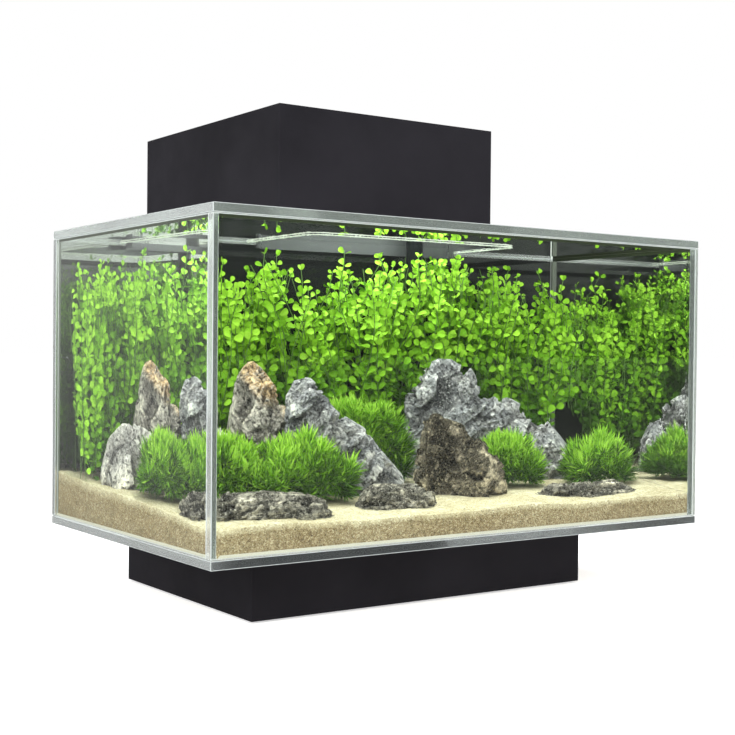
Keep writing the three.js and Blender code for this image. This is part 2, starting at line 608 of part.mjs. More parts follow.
const ROCKS = [
  { name: 'slab_rock', look: 'greyRock', at: [-60, 0], turn: 9, depth: 19, outline: [
    [-48, 15], [-46, 60], [-46, 104], [-40, 114], [-30, 113], [-22, 104], [-12, 91], [12, 78],
    [24, 63], [44, 42], [62, 30], [70, 15]] },
  { name: 'tan_rock', look: 'tanRock', at: [-118, 41], turn: 72, depth: 13, outline: [
    [-28, 15], [-27, 56], [-23, 82], [-17, 106], [-12, 121], [-6, 125], [3, 120], [14, 111],
    [24, 100], [30, 84], [34, 50], [36, 15]] },
  { name: 'back_rock', look: 'greyRock', at: [100, 40], turn: 20, depth: 22, outline: [
    [-78, 15], [-78, 70], [-76, 106], [-64, 120], [-50, 127], [-33, 126], [-22, 119], [-12, 98],
    [14, 95], [32, 86], [50, 75], [66, 58], [78, 38], [84, 15]] },
  { name: 'crag_rock', look: 'darkRock', at: [25, -42], turn: 25, depth: 21, outline: [
    [-40, 15], [-38, 40], [-35, 64], [-31, 82], [-23, 87], [-13, 82], [4, 77], [14, 68],
    [24, 58], [34, 46], [40, 15]] },
  { name: 'left_rock', look: 'greyRock', at: [-168, 40], turn: 50, depth: 20, outline: [
    [-31, 15], [-29, 44], [-19, 68], [-4, 78], [16, 79], [32, 72], [42, 54], [46, 15]] },
  { name: 'middle_flat_stone', look: 'darkRock', at: [-45, -80], turn: 20, depth: 17, outline: [
    [-38, 15], [-37, 33], [-26, 40], [6, 39], [20, 33], [30, 25], [32, 15]] },
  { name: 'left_flat_stone', look: 'darkRock', at: [-158, -88], turn: 14, depth: 18, outline: [
    [-44, 15], [-43, 34], [-30, 41], [-6, 41], [16, 39], [36, 36], [46, 28], [48, 15]] },
  { name: 'right_flat_stone', look: 'darkRock', at: [130, -82], turn: 4, depth: 15, outline: [
    [-66, 15], [-65, 29], [-40, 33], [-10, 32], [24, 33], [54, 29], [62, 15]] },
];

const TUFTS = [
  { name: 'front_tufts', at: [-134, -30], turn: 12, depth: 23, outline: [
    [-64, 18], [-72, 46], [-62, 68], [-44, 79], [-24, 71], [-12, 66], [4, 70], [28, 76], [54, 66],
    [70, 42], [64, 18]] },
  { name: 'middle_tuft', at: [-24, 34], turn: 10, depth: 19, outline: [
    [-40, 18], [-44, 70], [-34, 98], [-8, 102], [22, 92], [38, 66], [34, 18]] },
  { name: 'rock_tuft', at: [84, -24], turn: 25, depth: 20, outline: [
    [-30, 18], [-36, 52], [-24, 70], [0, 72], [22, 60], [32, 40], [30, 18]] },
  { name: 'right_tuft', at: [164, -38], turn: 12, depth: 24, outline: [
    [-32, 18], [-36, 44], [-22, 62], [4, 70], [28, 60], [38, 42], [34, 18]] },
];

// Stem plants fill the back. Each station is [x, lowest z, highest z, front y] and, where the plants
// stop short of the background, the back y.
const HEDGES = [
  { name: 'left_stem_plants', stations: [
    [-208, 62, 168, 78, 100], [-190, 46, 184, 74, 116], [-168, 44, 188, 72], [-150, 96, 186, 70],
    [-110, 104, 194, 72], [-60, 100, 188, 70], [-20, 102, 204, 68], [20, 104, 208, 70], [36, 112, 202, 78]] },
  { name: 'right_stem_plants', stations: [
    [64, 104, 200, 86], [90, 72, 204, 80], [130, 62, 196, 72], [165, 60, 190, 66], [193, 74, 186, 62],
    [208, 98, 178, 68]] },
];

function hedge(stations) {
  const points = [];
  const faces = [];
  const perStation = 8;
  for (const [x, low, high, front, back = INNER.y - 4] of stations) {
    const middle = (low + high) / 2;
    const reach = back - front;
    for (const [y, z] of [
      [back, low + 6], [back, high - 6], [back - 0.3 * reach, high], [front + 0.3 * reach, high - 4],
      [front, middle + 0.25 * (high - low)], [front, middle - 0.2 * (high - low)],
      [front + 0.3 * reach, low + 3], [back - 0.3 * reach, low],
    ]) points.push(x, y, z);
  }
  const last = (stations.length - 1) * perStation;
  for (let i = 1; i + 1 < perStation; i += 1) {
    faces.push(0, i + 1, i);
    faces.push(last, last + i, last + i + 1);
  }
  for (let s = 0; s + 1 < stations.length; s += 1) {
    for (let i = 0; i < perStation; i += 1) {
      const next = (i + 1) % perStation;
      const [p, q] = [s * perStation + i, s * perStation + next];
      faces.push(p, q, p + perStation, q, q + perStation, p + perStation);
    }
  }
  const geometry = new THREE.BufferGeometry();
  geometry.setAttribute('position', new THREE.BufferAttribute(new Float32Array(points), 3));
  geometry.setIndex(faces);
  return toSolid(geometry);
}

function buildScape() {
  const bedX = grow([-INNER.x, INNER.x], -GAP);
  const bedY = grow([-INNER.y, INNER.y], -GAP);
  const sand = sandBlock(bedX, bedY, SAND.floor, 0).subtract(edgeCage(-1, BEAD + 2 * GAP + 1));
  place('sand_bed', sand, MATERIAL.sand);

  const raised = sandBlock(grow(bedX, 2), grow(bedY, 2), SAND.floor - 4, GAP);
  const standing = [];
  const settle = (name, solid, material) => {
    let settled = solid.subtract(raised);
    for (const other of standing) settled = settled.subtract(other);
    standing.push(swollen(settled));
    place(name, settled, material);
  };
  for (const rock of ROCKS) settle(rock.name, lump(rock), MATERIAL[rock.look]);
  for (const tuft of TUFTS) settle(tuft.name, lump({ shrink: 0.55, ...tuft }), MATERIAL.tufts);
  for (const { name, stations } of HEDGES) settle(name, hedge(stations), MATERIAL.stems);
}

buildTank();
place('silicone_seams', edgeCage(GAP, BEAD), MATERIAL.silicone);
buildAccessRim();
buildBackground();
buildBase();
buildColumn();
buildHood();
buildHoodFrame();
buildLamp();
buildFilter();
buildIntake(buildPump());
buildScape();

export default aquarium;
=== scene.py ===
"""Looks of the desktop aquarium: glass, water, sand, rocks, plants, hood, base, column and filter."""

import json
import math

import bpy
import numpy as np
from mathutils import Matrix, Vector, noise
from mathutils.bvhtree import BVHTree

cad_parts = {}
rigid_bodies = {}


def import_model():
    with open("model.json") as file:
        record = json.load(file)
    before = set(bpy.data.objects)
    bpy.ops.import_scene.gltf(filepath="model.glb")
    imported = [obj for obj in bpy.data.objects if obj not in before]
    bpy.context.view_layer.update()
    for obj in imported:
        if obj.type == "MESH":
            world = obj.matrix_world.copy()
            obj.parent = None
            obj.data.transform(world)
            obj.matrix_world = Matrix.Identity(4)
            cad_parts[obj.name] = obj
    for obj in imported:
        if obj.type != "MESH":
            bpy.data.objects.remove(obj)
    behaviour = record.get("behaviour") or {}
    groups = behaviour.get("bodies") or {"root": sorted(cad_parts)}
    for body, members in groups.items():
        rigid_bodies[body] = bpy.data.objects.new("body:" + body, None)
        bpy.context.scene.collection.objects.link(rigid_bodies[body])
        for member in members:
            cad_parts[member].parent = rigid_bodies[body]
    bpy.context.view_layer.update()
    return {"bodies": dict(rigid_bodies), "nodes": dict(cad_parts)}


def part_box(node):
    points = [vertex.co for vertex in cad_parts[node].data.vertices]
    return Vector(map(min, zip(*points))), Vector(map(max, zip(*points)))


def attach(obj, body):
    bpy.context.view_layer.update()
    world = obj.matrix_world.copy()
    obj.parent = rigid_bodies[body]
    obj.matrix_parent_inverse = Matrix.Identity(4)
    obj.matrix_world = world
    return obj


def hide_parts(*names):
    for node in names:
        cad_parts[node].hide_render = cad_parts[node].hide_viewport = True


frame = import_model()
nodes = frame["nodes"]
bodies = frame["bodies"]
scene = bpy.context.scene
SEED = 23
rng = np.random.default_rng(SEED)
noise.seed_set(SEED)

# ------------------------------------------------------------------ the tank's own frame, in mm
pane_low, pane_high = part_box("glass_bottom")
TANK_Y = (pane_low.y + pane_high.y) / 2
TANK_Z = pane_low.z
GLASS = 6.0
INNER_X = (pane_high.x - pane_low.x) * 500 - GLASS
INNER_Y = (pane_high.y - pane_low.y) * 500 - GLASS
INNER_TOP = (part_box("glass_top")[0].z - TANK_Z) * 1000


def tank(x, y, z):
    """A point in millimetres from under the middle of the tank, as a place in the row frame."""
    return Vector((x / 1000, TANK_Y + y / 1000, TANK_Z + z / 1000))


def to_row(points):
    """The same for an array of points."""
    return np.asarray(points, float) / 1000 + np.array([0, TANK_Y, TANK_Z])


def to_tank(points):
    """And back to millimetres from under the middle of the tank."""
    return (np.asarray(points, float) - np.array([0, TANK_Y, TANK_Z])) * 1000


# ------------------------------------------------------------------ camera, lights, floor
GLOSS = {"front": 0.25, "left_low": 0.25, "left_high": 0.95}
AMBIENT = 0.5
CAMERA = {"place": (-591.2, -833.3, 135.0), "yaw": 34.79, "pitch": -0.72, "roll": 0.52, "lens": 63.8}


def make_camera():
    yaw, pitch, roll = (math.radians(CAMERA[k]) for k in ("yaw", "pitch", "roll"))
    ahead = Vector((math.sin(yaw) * math.cos(pitch), math.cos(yaw) * math.cos(pitch), math.sin(pitch)))
    right = Vector((math.cos(yaw), -math.sin(yaw), 0))
    up = right.cross(ahead)
    rolled_right = right * math.cos(roll) + up * math.sin(roll)
    rolled_up = up * math.cos(roll) - right * math.sin(roll)
    camera = bpy.data.objects.new("camera", bpy.data.cameras.new("camera"))
    camera.data.lens = CAMERA["lens"]
    camera.data.sensor_width = 36
    camera.data.clip_start = 0.02
    turn = Matrix((rolled_right, rolled_up, -ahead)).transposed()
    camera.matrix_world = Matrix.Translation(tank(*CAMERA["place"])) @ turn.to_4x4()
    scene.collection.objects.link(camera)
    scene.camera = camera


def area_light(name, place, aim, size, power, tint=(1, 1, 1), parent=None):
    """A soft light that lights surfaces without being seen itself in the glass."""
    data = bpy.data.lights.new(name, "AREA")
    data.shape = "RECTANGLE"
    data.size, data.size_y = size
    data.energy = power
    data.color = tint
    light = bpy.data.objects.new(name, data)
    light.location = place
    light.rotation_euler = (Vector(aim) - Vector(place)).to_track_quat("-Z", "Y").to_euler()
    light.visible_camera = light.visible_transmission = light.visible_glossy = False
    light.parent = parent
    scene.collection.objects.link(light)


def make_world():
    """A white studio: even for the eye, dimmer as light, and brightest behind left in reflections."""
    world = bpy.data.worlds.new("studio")
    world.use_nodes = True
    graph = Graph(world.node_tree)
    background = graph.tree.nodes["Background"]
    background.inputs["Color"].default_value = (1, 1, 1, 1)
    path = graph.add("ShaderNodeLightPath")
    direction = graph.add("ShaderNodeTexCoord")
    axis = graph.add("ShaderNodeSeparateXYZ", Vector=direction.outputs["Generated"])
    left = graph.span(axis.outputs["Z"], GLOSS["left_low"] - 1, GLOSS["left_high"] - 1, -0.12, 0.10)
    mirrored = graph.span(axis.outputs["X"], GLOSS["front"] - 1, left, -0.15, -0.35, smooth=True)
    gloss = graph.maths("MULTIPLY", path.outputs["Is Glossy Ray"], mirrored)
    diffuse = graph.maths("MULTIPLY", path.outputs["Is Diffuse Ray"], AMBIENT - 1)
    change = graph.maths("ADD", gloss, diffuse)
    graph.join(graph.maths("ADD", change, 1.0), background.inputs["Strength"])
    scene.world = world


def make_lights():
    middle = tank(0, 0, 110)
    area_light("front_softbox", (-0.6, -1.9, 1.4), middle, (1.5, 1.1), 32)
    area_light("left_softbox", (-2.0, -0.3, 1.1), middle, (1.3, 1.3), 29)
    area_light("right_fill", (1.9, -1.1, 0.8), middle, (1.2, 1.2), 7)
    area_light("top_softbox", (0, -0.15, 1.8), middle, (1.2, 0.9), 22)
    area_light("lamp_light", tank(0, 50, 258), tank(0, 50, 0), (0.15, 0.078), 0.45, (0.97, 1, 0.97),
               bodies["hood"])


def make_floor():
    """White paper under the object, far wider than any view, that glows as if lit evenly."""
    mesh = bpy.data.meshes.new("floor")
    reach = 40
    mesh.from_pydata([(-reach, -reach, 0), (reach, -reach, 0), (reach, reach, 0), (-reach, reach, 0)],
                     [], [(0, 1, 2, 3)])
    mesh.materials.append(material("floor_paint", grey(0.93), roughness=0.9, specular=0.0, glow=0.62))
    floor = bpy.data.objects.new("floor", mesh)
    scene.collection.objects.link(floor)
    floor.visible_glossy = False


# ------------------------------------------------------------------ materials
SOCKETS = {
    "roughness": "Roughness", "metallic": "Metallic", "ior": "IOR", "transmission": "Transmission Weight",
    "specular": "Specular IOR Level", "glow": "Emission Strength",
}
CLEAR = {"roughness": 0.0, "transmission": 1.0}
BLACK, WHITE = (0, 0, 0), (1, 1, 1)
RUST = {"slope": (0.35, -0.71, 1.0), "through": (-118, 41, 107), "fade": 0.008}
# A mix node has its colours at these places among its inputs and outputs.
MIX_FIRST, MIX_SECOND, MIX_RESULT = 6, 7, 2


def material(name, colour, mirror=None, **settings):
    """A plain material; mirror scales the reflection of what is seen square on."""
    made = bpy.data.materials.new(name)
    made.use_nodes = True
    shader = made.node_tree.nodes["Principled BSDF"]
    shader.inputs["Base Color"].default_value = (*colour, 1)
    made.diffuse_color = (*colour, 1)
    if "glow" in settings:
        shader.inputs["Emission Color"].default_value = (*colour, 1)
    if mirror is not None:
        shader.inputs["Specular Tint"].default_value = (mirror, mirror, mirror, 1)
    for key, value in settings.items():
        shader.inputs[SOCKETS[key]].default_value = value
    return made


class Graph:
    """Adds and joins the shader nodes of a material or of the world."""

    def __init__(self, tree):
        self.tree = tree

    def add(self, kind, operation=None, **inputs):
        """A new node with its inputs fed; in an input's name, _ stands for a space."""
        node = self.tree.nodes.new(kind)
        if operation:
            node.operation = operation
        for key, value in inputs.items():
            self.feed(value, node.inputs[key.replace("_", " ")])
        return node

    def join(self, source, target):
        self.tree.links.new(source, target)

    def feed(self, value, socket):
        """Gives a socket a number, a colour or another node's output."""
        if isinstance(value, bpy.types.NodeSocket):
            self.join(value, socket)
        elif isinstance(value, tuple):
            socket.default_value = (*value, 1)
        else:
            socket.default_value = value

    def span(self, source, low, high, from_low=0.0, from_high=1.0, smooth=False):
        """Maps from_low..from_high of the source to low..high, and holds the ends."""
        node = self.add("ShaderNodeMapRange", Value=source, From_Min=from_low, From_Max=from_high,
                        To_Min=low, To_Max=high)
        if smooth:
            node.interpolation_type = "SMOOTHSTEP"
        return node.outputs["Result"]

    def maths(self, operation, first, second):
        node = self.add("ShaderNodeMath", operation)
        self.feed(first, node.inputs[0])
        self.feed(second, node.inputs[1])
        return node.outputs[0]


class Surface(Graph):
    """The nodes of one material. Its textures lie in the object's space, stretched and turned if asked."""

    def __init__(self, made, stretch=(1, 1, 1), turn=(0, 0, 0)):
        super().__init__(made.node_tree)
        self.shader = self.tree.nodes["Principled BSDF"]
        place = self.add("ShaderNodeTexCoord")
        mapping = self.add("ShaderNodeMapping", Vector=place.outputs["Object"])
        mapping.vector_type = "TEXTURE"
        mapping.inputs["Scale"].default_value = [1 / s for s in stretch]
        mapping.inputs["Rotation"].default_value = [math.radians(t) for t in turn]
        self.spot = mapping.outputs["Vector"]

    def noise(self, scale, detail, roughness=0.55, distortion=0.0):
        node = self.add("ShaderNodeTexNoise", Vector=self.spot, Scale=scale, Detail=detail,
                        Roughness=roughness, Distortion=distortion)
        return node.outputs["Fac"]

    def cells(self, scale, output="Distance"):
        return self.add("ShaderNodeTexVoronoi", Vector=self.spot, Scale=scale).outputs[output]

    def attribute(self, name):
        """A value that the mesh keeps for each of its points."""
        node = self.add("ShaderNodeAttribute")
        node.attribute_name = name
        return node.outputs["Fac"]

    def ramp(self, source, stops, smooth=False):
        node = self.add("ShaderNodeValToRGB")
        if smooth:
            node.color_ramp.interpolation = "EASE"
        while len(node.color_ramp.elements) < len(stops):
            node.color_ramp.elements.new(0.5)
        for element, (position, colour) in zip(node.color_ramp.elements, stops):
            element.position = position
            element.color = (*colour, 1)
        self.join(source, node.inputs["Fac"])
        return node.outputs["Color"]

    def mix(self, first, second, factor, mode="MIX"):
        node = self.add("ShaderNodeMix")
        node.data_type = "RGBA"
        node.blend_type = mode
        self.feed(factor, node.inputs["Factor"])
        self.feed(first, node.inputs[MIX_FIRST])
        self.feed(second, node.inputs[MIX_SECOND])
        return node.outputs[MIX_RESULT]

    def colour(self, source):
        self.join(source, self.shader.inputs["Base Color"])

    def roughness(self, source):
        self.join(source, self.shader.inputs["Roughness"])

    def bump(self, source, height, strength=1.0):
        node = self.add("ShaderNodeBump", Height=source, Distance=height, Strength=strength)
        self.join(node.outputs["Normal"], self.shader.inputs["Normal"])


def grey(level):
    return (level, level, level)


def moulded(name, colour, roughness, grain=1400, lift=0.35):
    """Fine-grained moulded plastic with faint mottling."""
    made = material(name, colour, specular=0.02)
    graph = Surface(made)
    lighter = tuple(c * (1 + lift) for c in colour)
    darker = tuple(c * (1 - 0.4 * lift) for c in colour)
    graph.colour(graph.ramp(graph.noise(7, 5), [(0.3, darker), (0.7, lighter)], True))
    graph.roughness(graph.span(graph.noise(60, 4), roughness - 0.05, roughness + 0.06, 0.3, 0.7))
    graph.bump(graph.noise(grain, 2), 0.00004, 0.6)
    return made


def brushed_metal(name, colour, stretch, roughness):
    made = material(name, colour, metallic=1.0)
    graph = Surface(made, stretch)
    streaks = graph.noise(40, 6, 0.7)
    graph.colour(graph.ramp(streaks, [(0.3, tuple(0.8 * c for c in colour)), (0.7, colour)]))
    graph.roughness(graph.span(streaks, roughness - 0.08, roughness + 0.12, 0.3, 0.7))
    graph.bump(streaks, 0.00003, 0.5)
    return made


def cellular(name, colour, tones, size, pit, strength, roughness=0.5):
    """Porous ceramic or foam, made of small cells."""
    made = material(name, colour, roughness=roughness)
    graph = Surface(made)
    cells = graph.cells(size)
    graph.colour(graph.ramp(cells, [(0.1, tones[0]), (0.6, tones[1])]))
    graph.bump(cells, pit, strength)
    return made


def sand_material():
    """Grains of cream, beige and brown. Painted light and shade: the top is painted paler than the section
    against the glass.
    """
    made = material("sand_grains", (0.72, 0.58, 0.36), roughness=0.85, specular=0.2)
    graph = Surface(made)
    grain = graph.add("ShaderNodeSeparateColor", Color=graph.cells(1250, "Color"))
    # Tones of the top, painted pale as painted light.
    pale = graph.ramp(grain.outputs["Red"], [
        (0.0, (0.42, 0.34, 0.20)), (0.08, (0.55, 0.49, 0.31)), (0.4, (0.63, 0.585, 0.385)),
        (0.75, (0.705, 0.67, 0.465)), (1.0, (0.83, 0.81, 0.64))])
    # Tones of the section against the glass, painted dark as painted shade.
    shaded_side = graph.ramp(grain.outputs["Red"], [
        (0.0, (0.135, 0.096, 0.050)), (0.15, (0.185, 0.138, 0.073)), (0.45, (0.236, 0.186, 0.102)),
        (0.75, (0.288, 0.240, 0.139)), (1.0, (0.42, 0.375, 0.25))])
    # Upward faces, and the section just under its top edge, take the pale painted-light tones; the rest of
    # the section takes the painted-shade tones.
    facing = graph.add("ShaderNodeNewGeometry")
    up = graph.add("ShaderNodeSeparateXYZ", Vector=facing.outputs["True Normal"])
    top = graph.span(up.outputs["Z"], 0.0, 1.0, 0.25, 0.6)
    lit_near_top = graph.span(graph.attribute("depth"), 0.7, 0.0, 0.0, 0.24)
    tone = graph.mix(shaded_side, pale, graph.maths("MAXIMUM", top, lit_near_top))
    dark = graph.ramp(grain.outputs["Green"], [(0.0, (0.10, 0.07, 0.05)), (0.045, WHITE)])
    tone = graph.mix(tone, dark, 0.8, "MULTIPLY")
    patches = graph.ramp(graph.noise(34, 4), [(0.35, (0.86, 0.83, 0.78)), (0.65, WHITE)], True)
    tone = graph.mix(tone, patches, 1.0, "MULTIPLY")
    drifts = graph.ramp(graph.noise(230, 5, 0.7), [(0.36, (0.78, 0.76, 0.72)), (0.64, grey(1.18))])
    graph.colour(graph.mix(tone, drifts, 0.9, "MULTIPLY"))
    graph.bump(graph.cells(950), 0.0006, 0.7)
    return made


def rust_share(graph):
    """How much tan covers each point of a rock: ragged, and only above the plane RUST."""
    above = graph.add("ShaderNodeVectorMath", "DOT_PRODUCT")
    above.inputs[1].default_value = RUST["slope"]
    graph.join(graph.spot, above.inputs[0])
    start = Vector(RUST["slope"]).dot(tank(*RUST["through"]))
    edge = graph.span(above.outputs["Value"], 0.0, 1.0, start, start + RUST["fade"])
    ragged = graph.ramp(graph.noise(70, 8, 0.7, 1.0), [(0.36, BLACK), (0.50, WHITE)])
    return graph.maths("MULTIPLY", edge, graph.maths("MULTIPLY", ragged, 0.85))


def rock_material(name, tones, fleck, tan=None, strata=(0, 40, 0), streaks=0.75):
    """Weathered stone: tone patches, slanting streaks and pale flecks; painted shade in low relief and pits,
    painted light on high relief.
    """
    made = material(name, tones[1], roughness=0.9, specular=0.25)
    graph = Surface(made)
    body = graph.ramp(graph.noise(42, 9, 0.72, 0.8), [(0.34, tones[0]), (0.5, tones[1]), (0.64, tones[2])])
    if tan is not None:
        body = graph.mix(body, tan, rust_share(graph))
    slanting = Surface(made, (0.25, 1, 1.6), strata)
    bands = graph.ramp(slanting.noise(190, 8, 0.75, 0.6), [
        (0.37, (0.20, 0.20, 0.21)), (0.47, (0.80, 0.80, 0.81)), (0.54, grey(1.1)),
        (0.64, (2.1, 2.08, 2.02))])
    body = graph.mix(body, bands, streaks, "MULTIPLY")
    # Painted shade where the relief is low and painted light where it is high, read from the relief that the
    # mesh keeps.
    relief_shade = graph.ramp(graph.attribute("relief"), [
        (0.08, grey(0.22)), (0.36, grey(0.78)), (0.6, grey(1.05)), (0.9, (1.55, 1.55, 1.5))])
    body = graph.mix(body, relief_shade, 1.0, "MULTIPLY")
    flecks = graph.ramp(graph.noise(560, 7, 0.8, 0.5), [(0.545, BLACK), (0.62, WHITE)])
    body = graph.mix(body, fleck, graph.maths("MULTIPLY", flecks, 0.8))
    # Dark pits: painted shade in the small pits, which the bump below also sinks in.
    pits = graph.ramp(graph.noise(330, 8, 0.8, 0.4), [(0.40, grey(0.12)), (0.475, WHITE)])
    graph.colour(graph.mix(body, pits, 0.9, "MULTIPLY"))
    graph.bump(graph.maths("ADD", graph.noise(420, 7, 0.75), graph.maths("MULTIPLY", pits, 0.7)), 0.0015)
    return made


# ------------------------------------------------------------------ mesh helpers
# Corners of a CAD node that are closer than this, in metres, are one corner.
JOIN_GAP = 0.00001


def make_mesh(name, points, triangles, looks, smooth=True, choice=None):
    """An object from arrays of points (tank mm) and triangles; choice gives each face's material."""
    points = to_row(points).astype(np.float32)
    triangles = np.asarray(triangles, np.int32)
    mesh = bpy.data.meshes.new(name)
    mesh.vertices.add(len(points))
    mesh.vertices.foreach_set("co", points.ravel())
    mesh.loops.add(triangles.size)
    mesh.loops.foreach_set("vertex_index", triangles.ravel())
    mesh.polygons.add(len(triangles))
    mesh.polygons.foreach_set("loop_start", np.arange(0, triangles.size, 3, dtype=np.int32))
    mesh.polygons.foreach_set("use_smooth", np.broadcast_to(smooth, len(triangles)).astype(bool))
    for look in looks:
        mesh.materials.append(look)
    if choice is not None:
        mesh.polygons.foreach_set("material_index", np.asarray(choice, np.int32))
    mesh.update(calc_edges=True)
    mesh.validate()
    piece = bpy.data.objects.new(name, mesh)
    scene.collection.objects.link(piece)
    return piece


def mesh_points(mesh):
    """A mesh's points in tank millimetres."""
    return to_tank([vertex.co for vertex in mesh.vertices])


def stamp(points, triangles, frames, offsets):
    """Copies of a small mesh: frames are 3x3 matrices whose columns are its axes, offsets its places."""
    placed = np.einsum("nij,vj->nvi", frames, points) + offsets[:, None, :]
    count, size = len(offsets), len(points)
    faces = triangles[None, :, :] + (np.arange(count) * size)[:, None, None]
    return placed.reshape(-1, 3), faces.reshape(-1, 3)


def merged(parts):
    """Joins (points, triangles) pairs into one pair."""
    all_points, all_triangles, shift = [], [], 0
    for points, triangles in parts:
        all_points.append(points)
        all_triangles.append(triangles + shift)
        shift += len(points)
    return np.concatenate(all_points), np.concatenate(all_triangles)


def unit(vectors):
    return vectors / np.maximum(np.linalg.norm(vectors, axis=-1, keepdims=True), 1e-9)


def axes_along(ahead, up_hint):
    """3x3 frames whose x axis is ahead and whose z axis is as near to up_hint as that lets it be."""
    x = unit(ahead)
    y = unit(np.cross(up_hint, x))
    z = np.cross(x, y)
    return np.stack([x, y, z], axis=-1)


def keep_values(mesh, name, values):
    """Keeps a number from 0 to 1 for each point of a mesh, for its material to read."""
    mesh.attributes.new(name, "FLOAT", "POINT").data.foreach_set("value", values.astype(np.float32))


def softened(piece, voxel, factor, rounds):
    """Replaces a piece's mesh by a voxel remesh of it, smoothed over some rounds."""
    remesh = piece.modifiers.new("remesh", "REMESH")
    remesh.mode = "VOXEL"
    remesh.voxel_size = voxel / 1000
    soften = piece.modifiers.new("soften", "SMOOTH")
    soften.factor = factor
    soften.iterations = rounds
    bpy.context.view_layer.update()
    evaluated = piece.evaluated_get(bpy.context.evaluated_depsgraph_get())
    mesh = bpy.data.meshes.new_from_object(evaluated)
    piece.modifiers.clear()
    piece.data = mesh


def stands_for(piece, node, body="tank"):
    """Shows a piece in the place of a CAD solid, on the same body."""
    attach(piece, body)
    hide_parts(node)


def dress(node, look, bevel=0.0):
    """Gives a CAD node its material. Where a bevel is asked for, joins its faces and rounds its edges."""
    piece = nodes[node]
    piece.data.materials.clear()
    piece.data.materials.append(look)
    if bevel:
        piece.modifiers.new("join", "WELD").merge_threshold = JOIN_GAP
        edge = piece.modifiers.new("edge", "BEVEL")
        edge.width = bevel / 1000
        edge.segments = 2
        edge.limit_method = "ANGLE"
        edge.angle_limit = math.radians(40)
    return piece


# ------------------------------------------------------------------ glass and water
BUBBLE_PITCH = 0.2  # mm of rim for each bubble


def clear_to_light(piece):
    """Lets light pass through a piece as if it weren't there."""
    piece.visible_shadow = piece.visible_diffuse = False


def dress_glass():
    """Clear panes with ground edges, paler along their corners. Painted light and shade: edges facing front
    or back are darker, darkest on the bottom pane; the rest pale.
    """
    glass = material("float_glass", (0.94, 0.985, 0.935), mirror=0.25, ior=1.5, **CLEAR)
    ground = {"mirror": 0.5, "roughness": 0.25, "transmission": 0.72, "ior": 1.5}
    # Lit and shaded copies of one ground edge: painted light on the side edges, painted shade on the front
    # and back edges.
    lit_side_edge = material("ground_edge_side_lit", (0.62, 0.66, 0.65), **ground)
    shaded_front_edge = material("ground_front_edge_shaded", (0.25, 0.285, 0.26), **ground)
    shaded_bottom_edge = material("ground_bottom_front_shaded", (0.112, 0.124, 0.124), **ground)
    arris = material("ground_corner", (0.37, 0.40, 0.395), roughness=0.4, specular=0.3)
    side_slot, corner_slot, front_slot = 1, 2, 3
    for side in ("bottom", "front", "back", "left", "right", "top"):
        pane = dress(f"glass_{side}", glass, 0.45)
        for look in (lit_side_edge, arris, shaded_bottom_edge if side == "bottom" else shaded_front_edge):
            pane.data.materials.append(look)
        pane.modifiers["edge"].material = corner_slot
        thin = min(range(3), key=lambda axis: pane.dimensions[axis])
        reach = max(abs(corner[axis]) for corner in pane.bound_box for axis in range(3) if axis != thin)
        for polygon in pane.data.polygons:
            outside = max(abs(c) for c in polygon.center) > 0.5 * reach
            if abs(polygon.normal[thin]) < 0.5 and outside:
                polygon.material_index = front_slot if abs(polygon.normal.y) > 0.5 else side_slot
        clear_to_light(pane)
    dress_seams()
    rim = material("rim_plastic", (0.13, 0.135, 0.14), mirror=0.4, roughness=0.2, transmission=0.5, ior=1.45)
    clear_to_light(dress("access_rim", rim, 0.25))


def dress_seams():
    """Clear silicone: unseen up the front corners, and tinted by what it backs on everywhere else."""
    looks = [material("clear_silicone", (0.90, 0.93, 0.92), roughness=0.25, transmission=0.9, ior=1.41),
             material("shaded_silicone", (0.022, 0.028, 0.015), roughness=0.6, specular=0.1),
             material("sandy_silicone", (0.43, 0.415, 0.345), roughness=0.5, specular=0.2),
             material("wet_silicone", (0.93, 0.95, 0.91), mirror=0.2, ior=1.02, **CLEAR),
             material("hazy_silicone", (0.110, 0.124, 0.102), roughness=0.6, specular=0.1)]
    seams = dress("silicone_seams", looks[0])
    for look in looks[1:]:
        seams.data.materials.append(look)
    shaded, sandy, wet, hazy = range(1, 5)
    near = 5.0
    for polygon in seams.data.polygons:
        x, y, z = to_tank(np.array(polygon.center))
        low, high = z < GLASS + near, z > INNER_TOP - near
        front, side = y < near - INNER_Y, abs(x) > INNER_X - near
        # Painted shade: the seams along the top at the front and sides are painted near black.
        if high and (front or side):
            polygon.material_index = shaded
        elif low and (front or x < near - INNER_X):
            polygon.material_index = sandy
        elif not high and not low:
            polygon.material_index = wet if front else hazy
    clear_to_light(seams)


def rounded_ring(middle, half, radius, steps):
    """Points round a rectangle with rounded corners, a quarter at a time, anticlockwise."""
    turns = np.linspace(0, math.pi / 2, steps, endpoint=False)
    ring = []
    for quarter, corner in enumerate(((1, 1), (-1, 1), (-1, -1), (1, -1))):
        for turn in turns + quarter * math.pi / 2:
            heading = (math.cos(turn), math.sin(turn))
            ring.append([middle[i] + corner[i] * (half[i] - radius) + radius * heading[i] for i in range(2)])
    return ring


